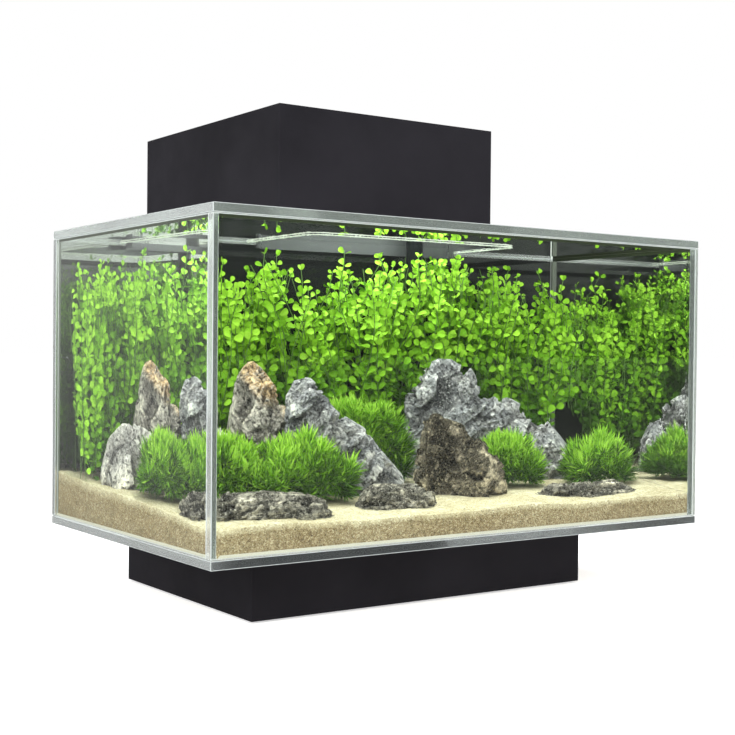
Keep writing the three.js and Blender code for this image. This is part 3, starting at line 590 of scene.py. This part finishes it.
def make_water():
    """The water fills the tank to the top pane and stands a little way up inside the access rim.

    At the front and left it reaches a hair into the glass, so that no film of air adds a reflection there.
    """
    wet, clear = 0.1, 0.15
    left, right = -INNER_X - wet, INNER_X - clear
    front, back = -INNER_Y - wet, INNER_Y - clear
    low, high = GLASS + clear, INNER_TOP - clear
    neck_low, neck_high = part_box("access_rim")
    neck = to_tank([neck_low, neck_high])[:, :2]
    middle = neck.mean(0)
    rim_wall, corner_radius, steps = 4.6, 9, 12
    neck_top, dip = high + 3.2, high + 2.6
    ring = rounded_ring(middle, (neck[1] - neck[0]) / 2 - rim_wall, corner_radius, steps)
    count = len(ring)
    corners = [(right, back), (left, back), (left, front), (right, front)]
    points = [(*c, low) for c in corners] + [(*c, high) for c in corners]
    points += [(*p, high) for p in ring] + [(*p, neck_top) for p in ring] + [(*middle, dip)]
    triangles = [(0, 2, 1), (0, 3, 2)]
    for i in range(4):
        j = (i + 1) % 4
        triangles += [(i, j, 4 + j), (i, 4 + j, 4 + i)]
    first, second, centre = 8, 8 + count, 8 + 2 * count
    for i in range(count):
        j = (i + 1) % count
        quarter = 4 + i // steps
        triangles.append((quarter, first + j, first + i))
        if (i + 1) % steps == 0:
            triangles.append((quarter, 4 + (i // steps + 1) % 4, first + j))
        triangles += [(first + i, first + j, second + j), (first + i, second + j, second + i)]
        triangles.append((second + i, second + j, centre))
    look = material("tank_water", (0.98, 1.0, 0.985), mirror=0.0, ior=1.333, **CLEAR)
    water = make_mesh("water", points, triangles, [look], smooth=False)
    clear_to_light(water)
    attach(water, "tank")


def rim_path():
    """The line round the left, front and right of the access rim, with rounded corners, seen from above."""
    low, high = to_tank(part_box("access_rim"))
    half_x = (high[0] - low[0]) / 2
    front, back = low[1] - 5, high[1] - 2.4
    corner, steps = 15.0, 8
    path = [(-half_x, back), (-half_x, front + corner)]
    for step in range(1, steps + 1):
        turn = math.pi + step * math.pi / (2 * steps)
        path.append((-half_x + corner + corner * math.cos(turn), front + corner + corner * math.sin(turn)))
    return np.array(path + [(-x, y) for x, y in reversed(path)])


def make_bubble_line():
    """A line of air with fine bubbles, caught under the top pane round the access rim, bright with a glow
    that is painted light.
    """
    path = rim_path()
    run = np.concatenate([[0], np.cumsum(np.linalg.norm(np.diff(path, axis=0), axis=1))])

    def places(along, height):
        return np.stack([np.interp(along, run, path[:, 0]), np.interp(along, run, path[:, 1]), height], -1)

    count = int(run[-1] / BUBBLE_PITCH)
    along = np.sort(rng.uniform(0, run[-1], count))
    spots = places(along, INNER_TOP - rng.uniform(0.5, 1.3, count))
    spots += rng.normal(0, (0.5, 0.6, 0.1), (count, 3))
    thick = np.array([noise.noise(Vector((s / 14, 0, 0))) + 0.5 * noise.noise(Vector((s / 4, 7, 0)))
                      for s in along])
    radius = np.clip(0.22 + 0.18 * thick + rng.normal(0, 0.06, count), 0.10, 0.42)
    ball, ball_faces = tube([(0, 0, z) for z in (-1, -0.7, 0, 0.7, 1)], [0.05, 0.71, 1, 0.71, 0.05], 6)
    frames = np.eye(3)[None] * radius[:, None, None]
    level = np.clip(1.5 + 3.5 * thick + rng.normal(0, 0.4, count), 0, 2).astype(int)
    stops = np.arange(0, run[-1], 1.5)
    swell = np.array([noise.noise(Vector((s / 22, 3, 0))) for s in stops])
    line = places(stops, np.full(len(stops), INNER_TOP - 0.9))
    line_points, line_faces = tube(line, np.clip(0.36 + 0.30 * swell, 0.12, 0.55), 8)
    points, faces = merged([stamp(ball, ball_faces, frames, spots), (line_points, line_faces)])
    # The three glows, picked by level, are painted light: the bubbles are no lamp.
    looks = [material(f"bubble_white_{i + 1}", (0.50, 0.54, 0.47), roughness=0.5, glow=glow)
             for i, glow in enumerate((0.0, 0.12, 0.4))]
    choice = np.concatenate([np.repeat(level, len(ball_faces)), np.full(len(line_faces), 2)])
    bubbles = make_mesh("rim_bubbles", points, faces, looks, choice=choice)
    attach(bubbles, "tank")


# ------------------------------------------------------------------ sand
SAND_FRONT, SAND_BACK = 23.5, 37.5


def sand_height(x, y):
    slope = np.clip((y + INNER_Y) / (2 * INNER_Y), 0, 1)
    ripple = 0.8 * np.sin(x / 31 + 0.6) + 0.6 * np.sin(x / 17 - y / 23)
    left_bank = 2.5 * np.exp(-(((x + 205) / 60) ** 2)) * slope
    return SAND_FRONT + (SAND_BACK - SAND_FRONT) * slope ** 0.8 + ripple + left_bank


def make_sand():
    """A bed of sand with a rippled top; its lower edge is marked, so that the material knows the depth."""
    gap, floor = 0.45, 6.4
    columns, rows = 300, 176
    xs = np.linspace(gap - INNER_X, INNER_X - gap, columns + 1)
    ys = np.linspace(gap - INNER_Y, INNER_Y - gap, rows + 1)
    grid_x, grid_y = np.meshgrid(xs, ys)
    small = np.zeros_like(grid_x)
    for wave, size in ((9.0, 0.35), (5.3, 0.25), (3.1, 0.16)):
        turn = rng.uniform(0, 2 * math.pi, 4)
        small += size * np.sin(grid_x / wave + turn[0] + 2 * np.sin(grid_y / (1.7 * wave) + turn[1]))
        small += size * np.sin(grid_y / wave + turn[2] + 2 * np.sin(grid_x / (1.4 * wave) + turn[3]))
    small += rng.normal(0, 0.14, grid_x.shape)
    top = np.stack([grid_x, grid_y, sand_height(grid_x, grid_y) + 0.5 * small], -1).reshape(-1, 3)
    index = np.arange(len(top)).reshape(rows + 1, columns + 1)
    here, right = index[:-1, :-1].ravel(), index[:-1, 1:].ravel()
    across, behind = index[1:, 1:].ravel(), index[1:, :-1].ravel()
    rim = np.concatenate([index[0, :], index[1:, -1], index[-1, -2::-1], index[-2:0:-1, 0]])
    lower = top[rim].copy()
    lower[:, 2] = floor
    low = len(top) + np.arange(len(rim))
    centre = len(top) + len(rim)
    next_rim, next_low = np.roll(rim, -1), np.roll(low, -1)
    triangles = [np.stack(corners, -1) for corners in (
        (here, right, across), (here, across, behind), (rim, low, next_low), (rim, next_low, next_rim),
        (low, np.full(len(low), centre), next_low))]
    points = np.concatenate([top, lower, [[0, 0, floor]]])
    sand = make_mesh("sand", points, np.concatenate(triangles), [sand_material()])
    keep_values(sand.data, "depth", np.arange(len(points)) >= len(top))
    stands_for(sand, "sand_bed")


# ------------------------------------------------------------------ rocks
# Points up to ROCK_FOOT above the sand go down by ROCK_SINK, so that no lower edge shows.
ROCK_FOOT, ROCK_SINK = 2.5, 7
ROCK_RELIEF = (-5, 3.2)


def scatter(cells, seed):
    """Seven repeatable random values from 0 to 1 for each whole-number cell."""
    mixed = cells @ np.array([127.1, 311.7, 74.7]) + 17.3 * seed
    waves = np.sin(mixed[:, None] * np.array([1.0, 1.37, 1.71, 2.11, 2.57, 3.01, 3.47])) * 43758.5453
    return waves - np.floor(waves)


def facets(points, grain, seed, tilt, step):
    """Heights of a broken surface: each cell of space is one tilted plane, set a little in or out."""
    q = points / grain
    home = np.floor(q)
    nearest = np.full(len(q), np.inf)
    heights = np.zeros(len(q))
    for shift in np.ndindex(3, 3, 3):
        cell = home + np.array(shift) - 1
        r = scatter(cell, seed)
        away = q - cell - 0.1 - 0.8 * r[:, :3]
        distance = (away ** 2).sum(1)
        plane = tilt * (away * (2 * r[:, 3:6] - 1)).sum(1) + step * (r[:, 6] - 0.5)
        nearer = distance < nearest
        heights[nearer] = plane[nearer]
        nearest[nearer] = distance[nearer]
    return heights * grain


def relief_of(points, seed, grain, strata, long_side):
    """Height of the broken surface at each point in mm: large slabs split into chips along the strata."""
    lean = np.array(Matrix.Rotation(math.radians(strata), 3, "Y"))
    wander = np.array([noise.noise_vector(Vector(p) / (0.9 * grain)) for p in points + 31.7 * seed])
    laid = (points + 0.20 * grain * wander) @ lean.T
    laid[:, 0] /= long_side
    heights = facets(laid, grain, seed, 0.9, 0.22)
    heights += facets(laid, 0.45 * grain, seed + 7, 0.8, 0.30)
    heights += facets(laid, 0.2 * grain, seed + 13, 0.8, 0.36)
    return heights + 0.045 * grain * wander[:, 1]


def make_rock(node, look, seed, strata=40, voxel=1.15, grain=20.0, strength=1.0, long_side=2.2):
    """The CAD rock's outer shape, refined and broken up; the relief is kept for the material, which paints
    shade and light by it.
    """
    source = nodes[node].data
    points = mesh_points(source)
    buried = points[:, 2] < sand_height(points[:, 0], points[:, 1]) + ROCK_FOOT
    points[buried, 2] -= ROCK_SINK
    triangles = []
    for polygon in source.polygons:
        first, *others = polygon.vertices
        triangles += [(first, *pair) for pair in zip(others, others[1:])]
    piece = make_mesh(f"{node}_stone", points, triangles, [])
    softened(piece, voxel, 0.8, 5)
    mesh = piece.data
    places = np.array([vertex.co for vertex in mesh.vertices])
    normals = np.array([vertex.normal for vertex in mesh.vertices])
    heights = relief_of(to_tank(places), seed, grain, strata, long_side)
    middle = heights.mean()
    moved = np.clip((heights - middle) * strength, *ROCK_RELIEF)
    places = places + normals * (moved / 1000)[:, None]
    mesh.vertices.foreach_set("co", places.ravel())
    keep_values(mesh, "relief", np.clip(0.5 + (heights - middle) / (4.2 * heights.std()), 0, 1))
    mesh.materials.append(look)
    mesh.update()
    stands_for(piece, node)


def make_rocks():
    white = (0.72, 0.72, 0.69)
    slate = rock_material(
        "blue_grey_stone", ((0.14, 0.15, 0.16), (0.35, 0.36, 0.365), (0.64, 0.64, 0.61)), white)
    light = rock_material(
        "pale_grey_stone", ((0.36, 0.355, 0.325), (0.60, 0.585, 0.535), (0.78, 0.76, 0.70)), white,
        strata=(0, -50, 0), streaks=0.5)
    warm = rock_material(
        "tan_grey_stone", ((0.17, 0.16, 0.145), (0.40, 0.38, 0.33), (0.68, 0.64, 0.55)), (0.85, 0.81, 0.70),
        tan=(0.52, 0.35, 0.17), strata=(0, 55, 0))
    dark = rock_material(
        "dark_brown_stone", ((0.012, 0.010, 0.008), (0.075, 0.066, 0.047), (0.42, 0.37, 0.27)),
        (0.62, 0.54, 0.36), strata=(0, -40, 0), streaks=1.0)
    layered = rock_material(
        "dark_layered_stone", ((0.036, 0.034, 0.028), (0.195, 0.186, 0.153), (0.60, 0.565, 0.46)),
        (0.80, 0.76, 0.64), strata=(0, 4, 0), streaks=1.0)
    make_rock("slab_rock", slate, 1, strata=50, grain=22, strength=0.85)
    make_rock("tan_rock", warm, 2, strata=60, grain=20)
    make_rock("back_rock", slate, 3, strata=38, grain=24, strength=0.8)
    make_rock("crag_rock", dark, 4, strata=-40, grain=15, strength=1.15)
    make_rock("left_rock", light, 5, strata=-50, grain=22)
    for seed, side in enumerate(("middle", "left", "right")):
        make_rock(f"{side}_flat_stone", layered, 6 + seed, 3, 0.9, 8, 1.1, 3.5)


# ------------------------------------------------------------------ plants
# Places and lengths are in tank millimetres.
INTAKE = (50, 100)
INTAKE_ROOM, INTAKE_SCREEN = 15, 22
WALL_GAP = 4
ROOT_DEPTH = 4
SKY = 400
CLUMP_SIZE = 24.0
STEM_SWAY = 4.5
STEM_FRONT = 56
# The outline of each hedge as (x, z), and the height of its feet.
BUSH_TOPS = {
    "left": [(-208, 172), (-190, 188), (-165, 182), (-140, 190), (-125, 186), (-113, 160), (-101, 178),
             (-86, 198), (-72, 190), (-60, 176), (-50, 140), (-43, 138), (-36, 166), (-26, 190), (-10, 192),
             (10, 186), (26, 194), (37, 204)],
    "right": [(64, 206), (84, 206), (98, 196), (112, 188), (130, 196), (146, 184), (157, 160), (168, 162),
              (180, 180), (192, 186), (208, 168)],
}
BUSH_FEET = [(-208, 46), (-60, 52), (172, 54), (186, 84), (208, 104)]
# Lone stems: x, y and the height of the top.
STRAGGLERS = [(-186, 72, 200), (-150, 92, 204), (-132, 80, 200), (-86, 76, 210), (-60, 70, 198),
              (-46, 92, 184), (-24, 74, 214), (-10, 88, 208), (16, 84, 205), (30, 72, 213), (120, 80, 206),
              (136, 88, 207), (176, 78, 194), (190, 74, 200), (203, 96, 206)]
# Stems lean away from the nearest of these x places.
BUSH_MIDDLES = np.array([-190, -150, -118, -84, -22, 12, 56, 88, 128, 184.0])
BUSH_ENDS = {"left": (-207, 20), "right": (120, 207)}
BUSH_DEPTH = (64, 119)
# The back left corner, where x - y is less than this, stays free.
BUSH_CORNER = -305.0
# Greens from the darkest to the palest. Which one a leaf or blade takes is partly painted light and shade,
# partly random tone.
LEAF_TONES = [(0.036, 0.103, 0.007), (0.080, 0.208, 0.010), (0.135, 0.325, 0.013), (0.198, 0.435, 0.020),
              (0.268, 0.530, 0.036)]
NEEDLE_TONES = [(0.016, 0.050, 0.005), (0.050, 0.135, 0.008), (0.100, 0.250, 0.012), (0.190, 0.420, 0.020),
                (0.360, 0.640, 0.060)]
BLADES = 40
BLADE_ROOT_FACES = 7
# A blade of any length is as wide as one of this length would be.
BLADE_GIRTH = 17


def leaf_shape():
    """A leaf one unit long, widest towards its tip and folded along its midrib, with a short stalk."""
    rim = 10
    angle = np.linspace(0, 2 * math.pi, rim, endpoint=False)
    x = 0.58 + 0.42 * np.cos(angle)
    y = 0.40 * np.sin(angle) * (0.80 + 0.34 * np.cos(angle))
    fold = 0.30 * np.abs(y) - 0.16 * (x - 0.4) ** 2
    points = [*zip(x, y, fold), (0.58, 0, 0.014), (0.58, 0, -0.014), (0, 0.02, 0), (0, -0.02, 0)]
    top, bottom, stalk, other = range(rim, rim + 4)
    triangles = []
    for i in range(rim):
        j = (i + 1) % rim
        triangles.append((top, i, j))
        triangles.append((bottom, j, i))
    triangles.append((stalk, other, rim // 2))
    return np.array(points, float), np.array(triangles)


def tube(path, radii, sides):
    """A closed tube along a path of points."""
    path = np.asarray(path, float)
    ahead = unit(np.gradient(path, axis=0))
    side = unit(np.cross(ahead, [0.31, 0.92, 0.23]))
    other = np.cross(ahead, side)
    angles = np.linspace(0, 2 * math.pi, sides, endpoint=False)
    ring = np.cos(angles)[None, :, None] * side[:, None, :]
    ring = ring + np.sin(angles)[None, :, None] * other[:, None, :]
    points = (path[:, None, :] + ring * np.asarray(radii)[:, None, None]).reshape(-1, 3)
    points = np.concatenate([points, path[:1], path[-1:]])
    triangles = []
    for step in range(len(path) - 1):
        for i in range(sides):
            j = (i + 1) % sides
            a, b = step * sides + i, step * sides + j
            triangles += [(a, b, b + sides), (a, b + sides, a + sides)]
    first, last = len(path) * sides, len(path) * sides + 1
    end = (len(path) - 1) * sides
    for i in range(sides):
        j = (i + 1) % sides
        triangles += [(first, j, i), (last, end + i, end + j)]
    return points, np.array(triangles)


def tone_set(name, tones, **settings):
    """One material for each tone, from the darkest to the palest."""
    return [material(f"{name}_{i + 1}", tone, **settings) for i, tone in enumerate(tones)]


def solid_tree(node):
    """A search tree of a CAD node in tank millimetres."""
    mesh = nodes[node].data
    points = [Vector(point) for point in mesh_points(mesh)]
    return BVHTree.FromPolygons(points, [list(polygon.vertices) for polygon in mesh.polygons])


def stands_over(tree, x, y):
    """Whether a solid has anything on the upright line through (x, y)."""
    return tree.ray_cast(Vector((x, y, SKY)), Vector((0, 0, -1)))[0] is not None


def bush_places(side, spacing, x_range):
    """Jittered stems over a hedge: place, foot, top and lean. The front row closes in before the intake."""
    tree = solid_tree(f"{side}_stem_plants")
    tops = np.array(BUSH_TOPS[side])
    found = []
    for x in np.arange(*x_range, spacing):
        for y in np.arange(*BUSH_DEPTH, spacing):
            px, py = x + rng.uniform(-0.5, 0.5) * spacing, y + rng.uniform(-0.5, 0.5) * spacing
            if math.hypot(px - INTAKE[0], py - INTAKE[1]) < INTAKE_ROOM + 2 or px - py < BUSH_CORNER + 6:
                continue
            if not stands_over(tree, np.clip(px, *BUSH_ENDS[side]), py):
                continue
            low = np.interp(px, *zip(*BUSH_FEET)) + rng.uniform(-8, 12)
            middle = BUSH_MIDDLES[np.argmin(np.abs(BUSH_MIDDLES - px))]
            lean = (0.011 * (px - middle) + rng.normal(0, 0.13), rng.normal(-0.04, 0.10))
            end = np.clip(px + 120 * lean[0], WALL_GAP - INNER_X, INNER_X - WALL_GAP)
            high = np.interp(end, tops[:, 0], tops[:, 1]) + rng.normal(0, 6) - max(0, 0.2 * (92 - py))
            found.append((px, py, low, high, lean))
    return found


def stem_path(x, y, base, top, lean):
    """How far along a swaying stem each of its points lies, and the points, kept off the panes."""
    phase = rng.uniform(0, 2 * math.pi, 2)
    share = np.linspace(0, 1, 8)
    rise = top - base
    path = np.stack([
        x + lean[0] * rise * share ** 1.5 + STEM_SWAY * np.sin(5 * share + phase[0]),
        y + lean[1] * rise * share ** 1.5 + STEM_SWAY * np.sin(4 * share + phase[1]),
        base + rise * share,
    ], -1)
    path[:, 0] = np.clip(path[:, 0], WALL_GAP - INNER_X, INNER_X - WALL_GAP)
    path[:, 1] = np.clip(path[:, 1], STEM_FRONT, INNER_Y - 5)
    return share, path


def clump(spot):
    """A smooth value, about -0.5 to 0.5, that splits the bush into clumps of foliage."""
    return noise.noise(Vector(spot) / CLUMP_SIZE)


def in_gap(spot, thick):
    """Whether a spot lies bare between clumps: rarer towards the back and low down, never by the intake."""
    bare_below = -0.16 - 0.004 * (spot[1] - 60) - 0.008 * max(0, 125 - spot[2])
    return abs(spot[0] - INTAKE[0]) >= INTAKE_SCREEN and thick < bare_below


def painted_leaf_light(spot, thick):
    """Painted light on a leaf: more at the front or the left end, high up, inside a clump and to the left;
    less, as painted shade, low and at the back.
    """
    front = np.clip((118 - spot[1]) / 55, 0, 1)
    beside = np.clip((-168 - spot[0]) / 30, 0, 1)
    height = max(np.clip((spot[2] - 80) / 110, 0, 1), 0.75 * beside)
    return 0.30 * max(front, beside) + 0.46 * height + 0.18 + 0.45 * thick - 0.0003 * spot[0]


def grow_stems(places, pitch, size_range, gaps):
    """Stems with crossed pairs of leaves; gives stem tubes, leaf directions, sizes, places and painted
    light.
    """
    tubes, leaves = [], []
    for x, y, low, high, lean in places:
        base, top = low - ROOT_DEPTH, min(high, INNER_TOP - 6)
        share, path = stem_path(x, y, base, top, lean)
        tubes.append(tube(path, 0.5 - 0.2 * share, 4))
        joints = max(3, int((top - base) / pitch))
        turn = rng.uniform(0, math.pi)
        for joint in range(joints):
            along = (joint + 0.7) / joints
            spot = np.array([np.interp(along, share, path[:, axis]) for axis in range(3)])
            thick = clump(spot)
            if gaps and in_gap(spot, thick):
                continue
            size = rng.uniform(*size_range) * (1 - 0.35 * along ** 6)
            for side in (0, math.pi):
                way = turn + side + rng.normal(0, 0.35)
                lift = math.radians(rng.uniform(-10, 55) + 15 * along ** 6)
                level = math.cos(lift)
                ahead = (math.cos(way) * level, 0.75 * math.sin(way) * level, math.sin(lift))
                hint = (rng.normal(-0.38, 0.55), rng.normal(-0.8, 0.45), rng.normal(0.6, 0.5))
                leaves.append((ahead, hint, size, spot, painted_leaf_light(spot, thick)))
            turn += math.pi / 2 + rng.normal(0, 0.25)
    return tubes, leaves


def make_stem_plants(side, x_range, greens, stem_look):
    """A hedge of stems over one CAD solid, and the lone stems that rise from it to the surface."""
    tubes, leaves = grow_stems(bush_places(side, 7.6, x_range), 5.8, (6.6, 9.6), True)
    lone = [(x, y, top - 70, top, (rng.normal(0, 0.12), 0)) for x, y, top in STRAGGLERS
            if x_range[0] - 4 <= x <= x_range[1] + 24]
    lone_tubes, lone_leaves = grow_stems(lone, 9, (7.2, 9.5), False)
    ahead, hints, sizes, spots, light = (np.array(values) for values in zip(*leaves, *lone_leaves))
    frames = axes_along(ahead, hints) * sizes[:, None, None]
    tips = spots + frames[:, :, 0]
    keep = (np.abs(tips[:, 0]) < INNER_X - 1.5) & (tips[:, 1] < INNER_Y - 1.5) & (tips[:, 2] < INNER_TOP - 2)
    for ends in (tips, spots):
        keep &= np.hypot(ends[:, 0] - INTAKE[0], ends[:, 1] - INTAKE[1]) > INTAKE_ROOM
    keep &= tips[:, 0] - tips[:, 1] > BUSH_CORNER + 0.9 * np.maximum(0, 82 - tips[:, 2])
    frames, spots, light = frames[keep], spots[keep], light[keep]
    shape, faces = leaf_shape()
    points, triangles = merged([stamp(shape, faces, frames, spots), *tubes, *lone_tubes])
    # Each leaf's tone is its painted light and shade, with a random spread.
    level = light + rng.normal(0, 0.11, len(light))
    tone = np.clip((level * len(greens)).astype(int), 0, len(greens) - 1)
    choice = np.full(len(triangles), len(greens))
    choice[:len(tone) * len(faces)] = np.repeat(tone, len(faces))
    looks = [*greens, stem_look]
    piece = make_mesh(f"{side}_stems", points, triangles, looks, choice == len(greens), choice)
    stands_for(piece, f"{side}_stem_plants")


def needle_shape():
    """A slim three-sided blade, one unit long, bending a little over its length."""
    stations = ((0.0, 0.036, 0.0), (0.5, 0.042, 0.04), (0.82, 0.026, 0.12))
    points = []
    for x, half, bend in stations:
        points += [(x, half, bend), (x, -half, bend), (x, 0, bend - 0.45 * half)]
    points.append((1.0, 0, 0.20))
    triangles = [(0, 2, 1)]
    for s in range(len(stations) - 1):
        for i in range(3):
            j = (i + 1) % 3
            a, b = 3 * s + i, 3 * s + j
            triangles += [(a, b, b + 3), (a, b + 3, a + 3)]
    end = 3 * (len(stations) - 1)
    for i in range(3):
        triangles.append((end + i, end + (i + 1) % 3, len(points) - 1))
    return np.array(points, float), np.array(triangles)


def rounded_shell(node, voxel):
    """Points and outward directions all over a softened copy of a CAD solid, in tank millimetres."""
    piece = bpy.data.objects.new(f"{node}_shell", nodes[node].data.copy())
    scene.collection.objects.link(piece)
    softened(piece, voxel, 1.0, 9)
    points = mesh_points(piece.data)
    normals = np.array([vertex.normal for vertex in piece.data.vertices])
    bpy.data.objects.remove(piece)
    return points, normals


def make_tuft(node, greens, spacing):
    """Rosettes of blades, rooted under the tuft's surface; each blade is palest at its tip, with painted
    light and shade.
    """
    points, normals = rounded_shell(node, spacing)
    ground = sand_height(points[:, 0], points[:, 1])
    keep = (points[:, 2] > ground + 2) & (normals[:, 2] > -0.75)
    points, normals = points[keep], normals[keep]
    bunches, blades = len(points), BLADES
    outward = unit(normals + rng.normal(0, 0.30, (bunches, 3)) + np.array([0, 0, 0.3]))
    depth = rng.uniform(4, 12, (bunches, 1))
    roots = points - depth * normals + rng.normal(0, 2.2, (bunches, 3))
    spread = unit(rng.normal(0, 1, (bunches, blades, 3))) * rng.uniform(0.5, 2.0, (bunches, blades, 1))
    ahead = unit(outward[:, None, :] + spread).reshape(-1, 3)
    count = bunches * blades
    start = np.repeat(roots, blades, axis=0) + rng.normal(0, 0.6, (count, 3))
    length = rng.uniform(8.5, 15.5, count) * np.repeat(rng.uniform(0.8, 1.2, bunches), blades)
    upward = np.array([0, 0, 1.0]) + rng.normal(0, 0.4, (count, 3))
    frames = axes_along(ahead, upward) * length[:, None, None]
    frames[:, :, 1:] *= (BLADE_GIRTH / length)[:, None, None]
    tips = start + frames[:, :, 0]
    inside = (np.abs(tips[:, 0]) < INNER_X - 1) & (tips[:, 1] > -INNER_Y + 1.5)
    inside &= tips[:, 2] > sand_height(tips[:, 0], tips[:, 1]) + 0.5
    shape, faces = needle_shape()
    blade_points, blade_faces = stamp(shape, faces, frames[inside], start[inside])
    # Painted light and shade: higher blades, and bunches facing up, left and to the front, take paler tones.
    height = (tips[:, 2] - points[:, 2].min()) / np.ptp(points[:, 2])
    bunch_tone = np.repeat(rng.normal(0, 0.19, bunches), blades)
    up = np.repeat(normals @ np.array([-0.6, -0.35, 1.0]), blades)
    level = 0.16 + 0.30 * height + 0.20 * up + bunch_tone + rng.normal(0, 0.18, count)
    tone = np.clip((level * len(greens)).astype(int), 0, len(greens) - 2)[inside]
    # Painted light at the tips: faces past the root take the next paler tone, leaving the roots in painted
    # shade.
    paler = np.arange(len(faces)) >= BLADE_ROOT_FACES
    choice = (tone[:, None] + paler[None, :]).ravel()
    piece = make_mesh(f"{node}_needles", blade_points, blade_faces, greens, False, choice)
    stands_for(piece, node)


def make_plants():
    # The leaves' faint glow is painted light, standing in for light shining through them.
    greens = tone_set("leaf_green_and_shade", LEAF_TONES, roughness=0.5, specular=0.15, glow=0.03)
    stem_look = material("stem_green", (0.070, 0.155, 0.022), roughness=0.5)
    make_stem_plants("left", (-205, 52), greens, stem_look)
    make_stem_plants("right", (48, 208), greens, stem_look)
    # The blades' faint glow is painted light too.
    needles = tone_set("needle_green_and_shade", NEEDLE_TONES, roughness=0.45, specular=0.3, glow=0.02)
    for node in ("front_tufts", "middle_tuft", "rock_tuft", "right_tuft"):
        make_tuft(node, needles, 8.4 if node == "front_tufts" else 8.0)


# ------------------------------------------------------------------ hard parts
def numbered(name, count):
    return [f"{name}_{i + 1}" for i in range(count)]


def dress_hard_parts():
    """Looks of the hood, base, column, lamp and filter, with a bevel in mm where edges show."""
    satin = moulded("satin_black_shell", (0.0130, 0.0124, 0.0148), 0.5)
    inner = moulded("inner_black_plastic", (0.018, 0.018, 0.019), 0.52, 900)
    film = moulded("background_film", (0.010, 0.010, 0.011), 0.5, 700)
    rubber = moulded("foot_rubber", (0.016, 0.016, 0.016), 0.8, 2500, 0.6)
    board = moulded("board_white", (0.78, 0.80, 0.76), 0.4, 700, 0.08)
    diffuser = moulded("lamp_diffuser", (0.84, 0.86, 0.86), 0.4, 2200, 0.05)
    steel = brushed_metal("screw_steel", (0.56, 0.57, 0.58), (1, 1, 30), 0.32)
    aluminium = brushed_metal("anodised_aluminium", (0.66, 0.67, 0.68), (1, 30, 1), 0.34)
    smoke = material("smoke_tube", (0.010, 0.011, 0.012), mirror=0.2, roughness=0.3, transmission=0.2,
                     ior=1.4)
    ceramic = cellular("ceramic_rings", (0.62, 0.55, 0.46), ((0.72, 0.66, 0.57), (0.30, 0.25, 0.2)),
                       190, 0.002, 0.8)
    foam = cellular("filter_foam", (0.03, 0.035, 0.04), ((0.012, 0.014, 0.016), (0.07, 0.075, 0.085)),
                    620, 0.001, 1.0, 0.95)
    parts = (
        (satin, 0.5, ["hood_shell", "base_shell", "rear_column"]),
        (inner, 0.25, ["base_plate", "hood_frame", "switch_body", "switch_button", "filter_body",
                       "filter_lid", "flow_lever", "pump_motor", "impeller_cover", "strainer"]),
        (film, 0, ["background_panel"]),
        (rubber, 0, [*numbered("foot", 4), "cable_grommet", "support_mat"]),
        (steel, 0, [*numbered("base_screw", 4), *numbered("column_screw", 2), *numbered("lamp_strap", 2)]),
        (aluminium, 0.2, ["lamp_housing"]),
        (board, 0, ["lamp_board"]),
        (diffuser, 0, ["lamp_diffuser"]),
        (smoke, 0, ["intake_tube", "intake_extension", "impeller"]),
        (ceramic, 0, ["ceramic_block", "pump_shaft"]),
        (foam, 0, ["foam_block"]),
    )
    for look, bevel, names in parts:
        for node in names:
            dress(node, look, bevel)


# ------------------------------------------------------------------ the scene
scene.view_settings.view_transform = "Standard"
scene.cycles.max_bounces = 16
scene.cycles.transmission_bounces = 16
scene.cycles.glossy_bounces = 8
scene.cycles.diffuse_bounces = 3
scene.cycles.transparent_max_bounces = 16
scene.cycles.caustics_reflective = scene.cycles.caustics_refractive = False

make_camera()
make_world()
make_lights()
make_floor()
dress_glass()
make_water()
make_bubble_line()
make_sand()
make_rocks()
make_plants()
dress_hard_parts()
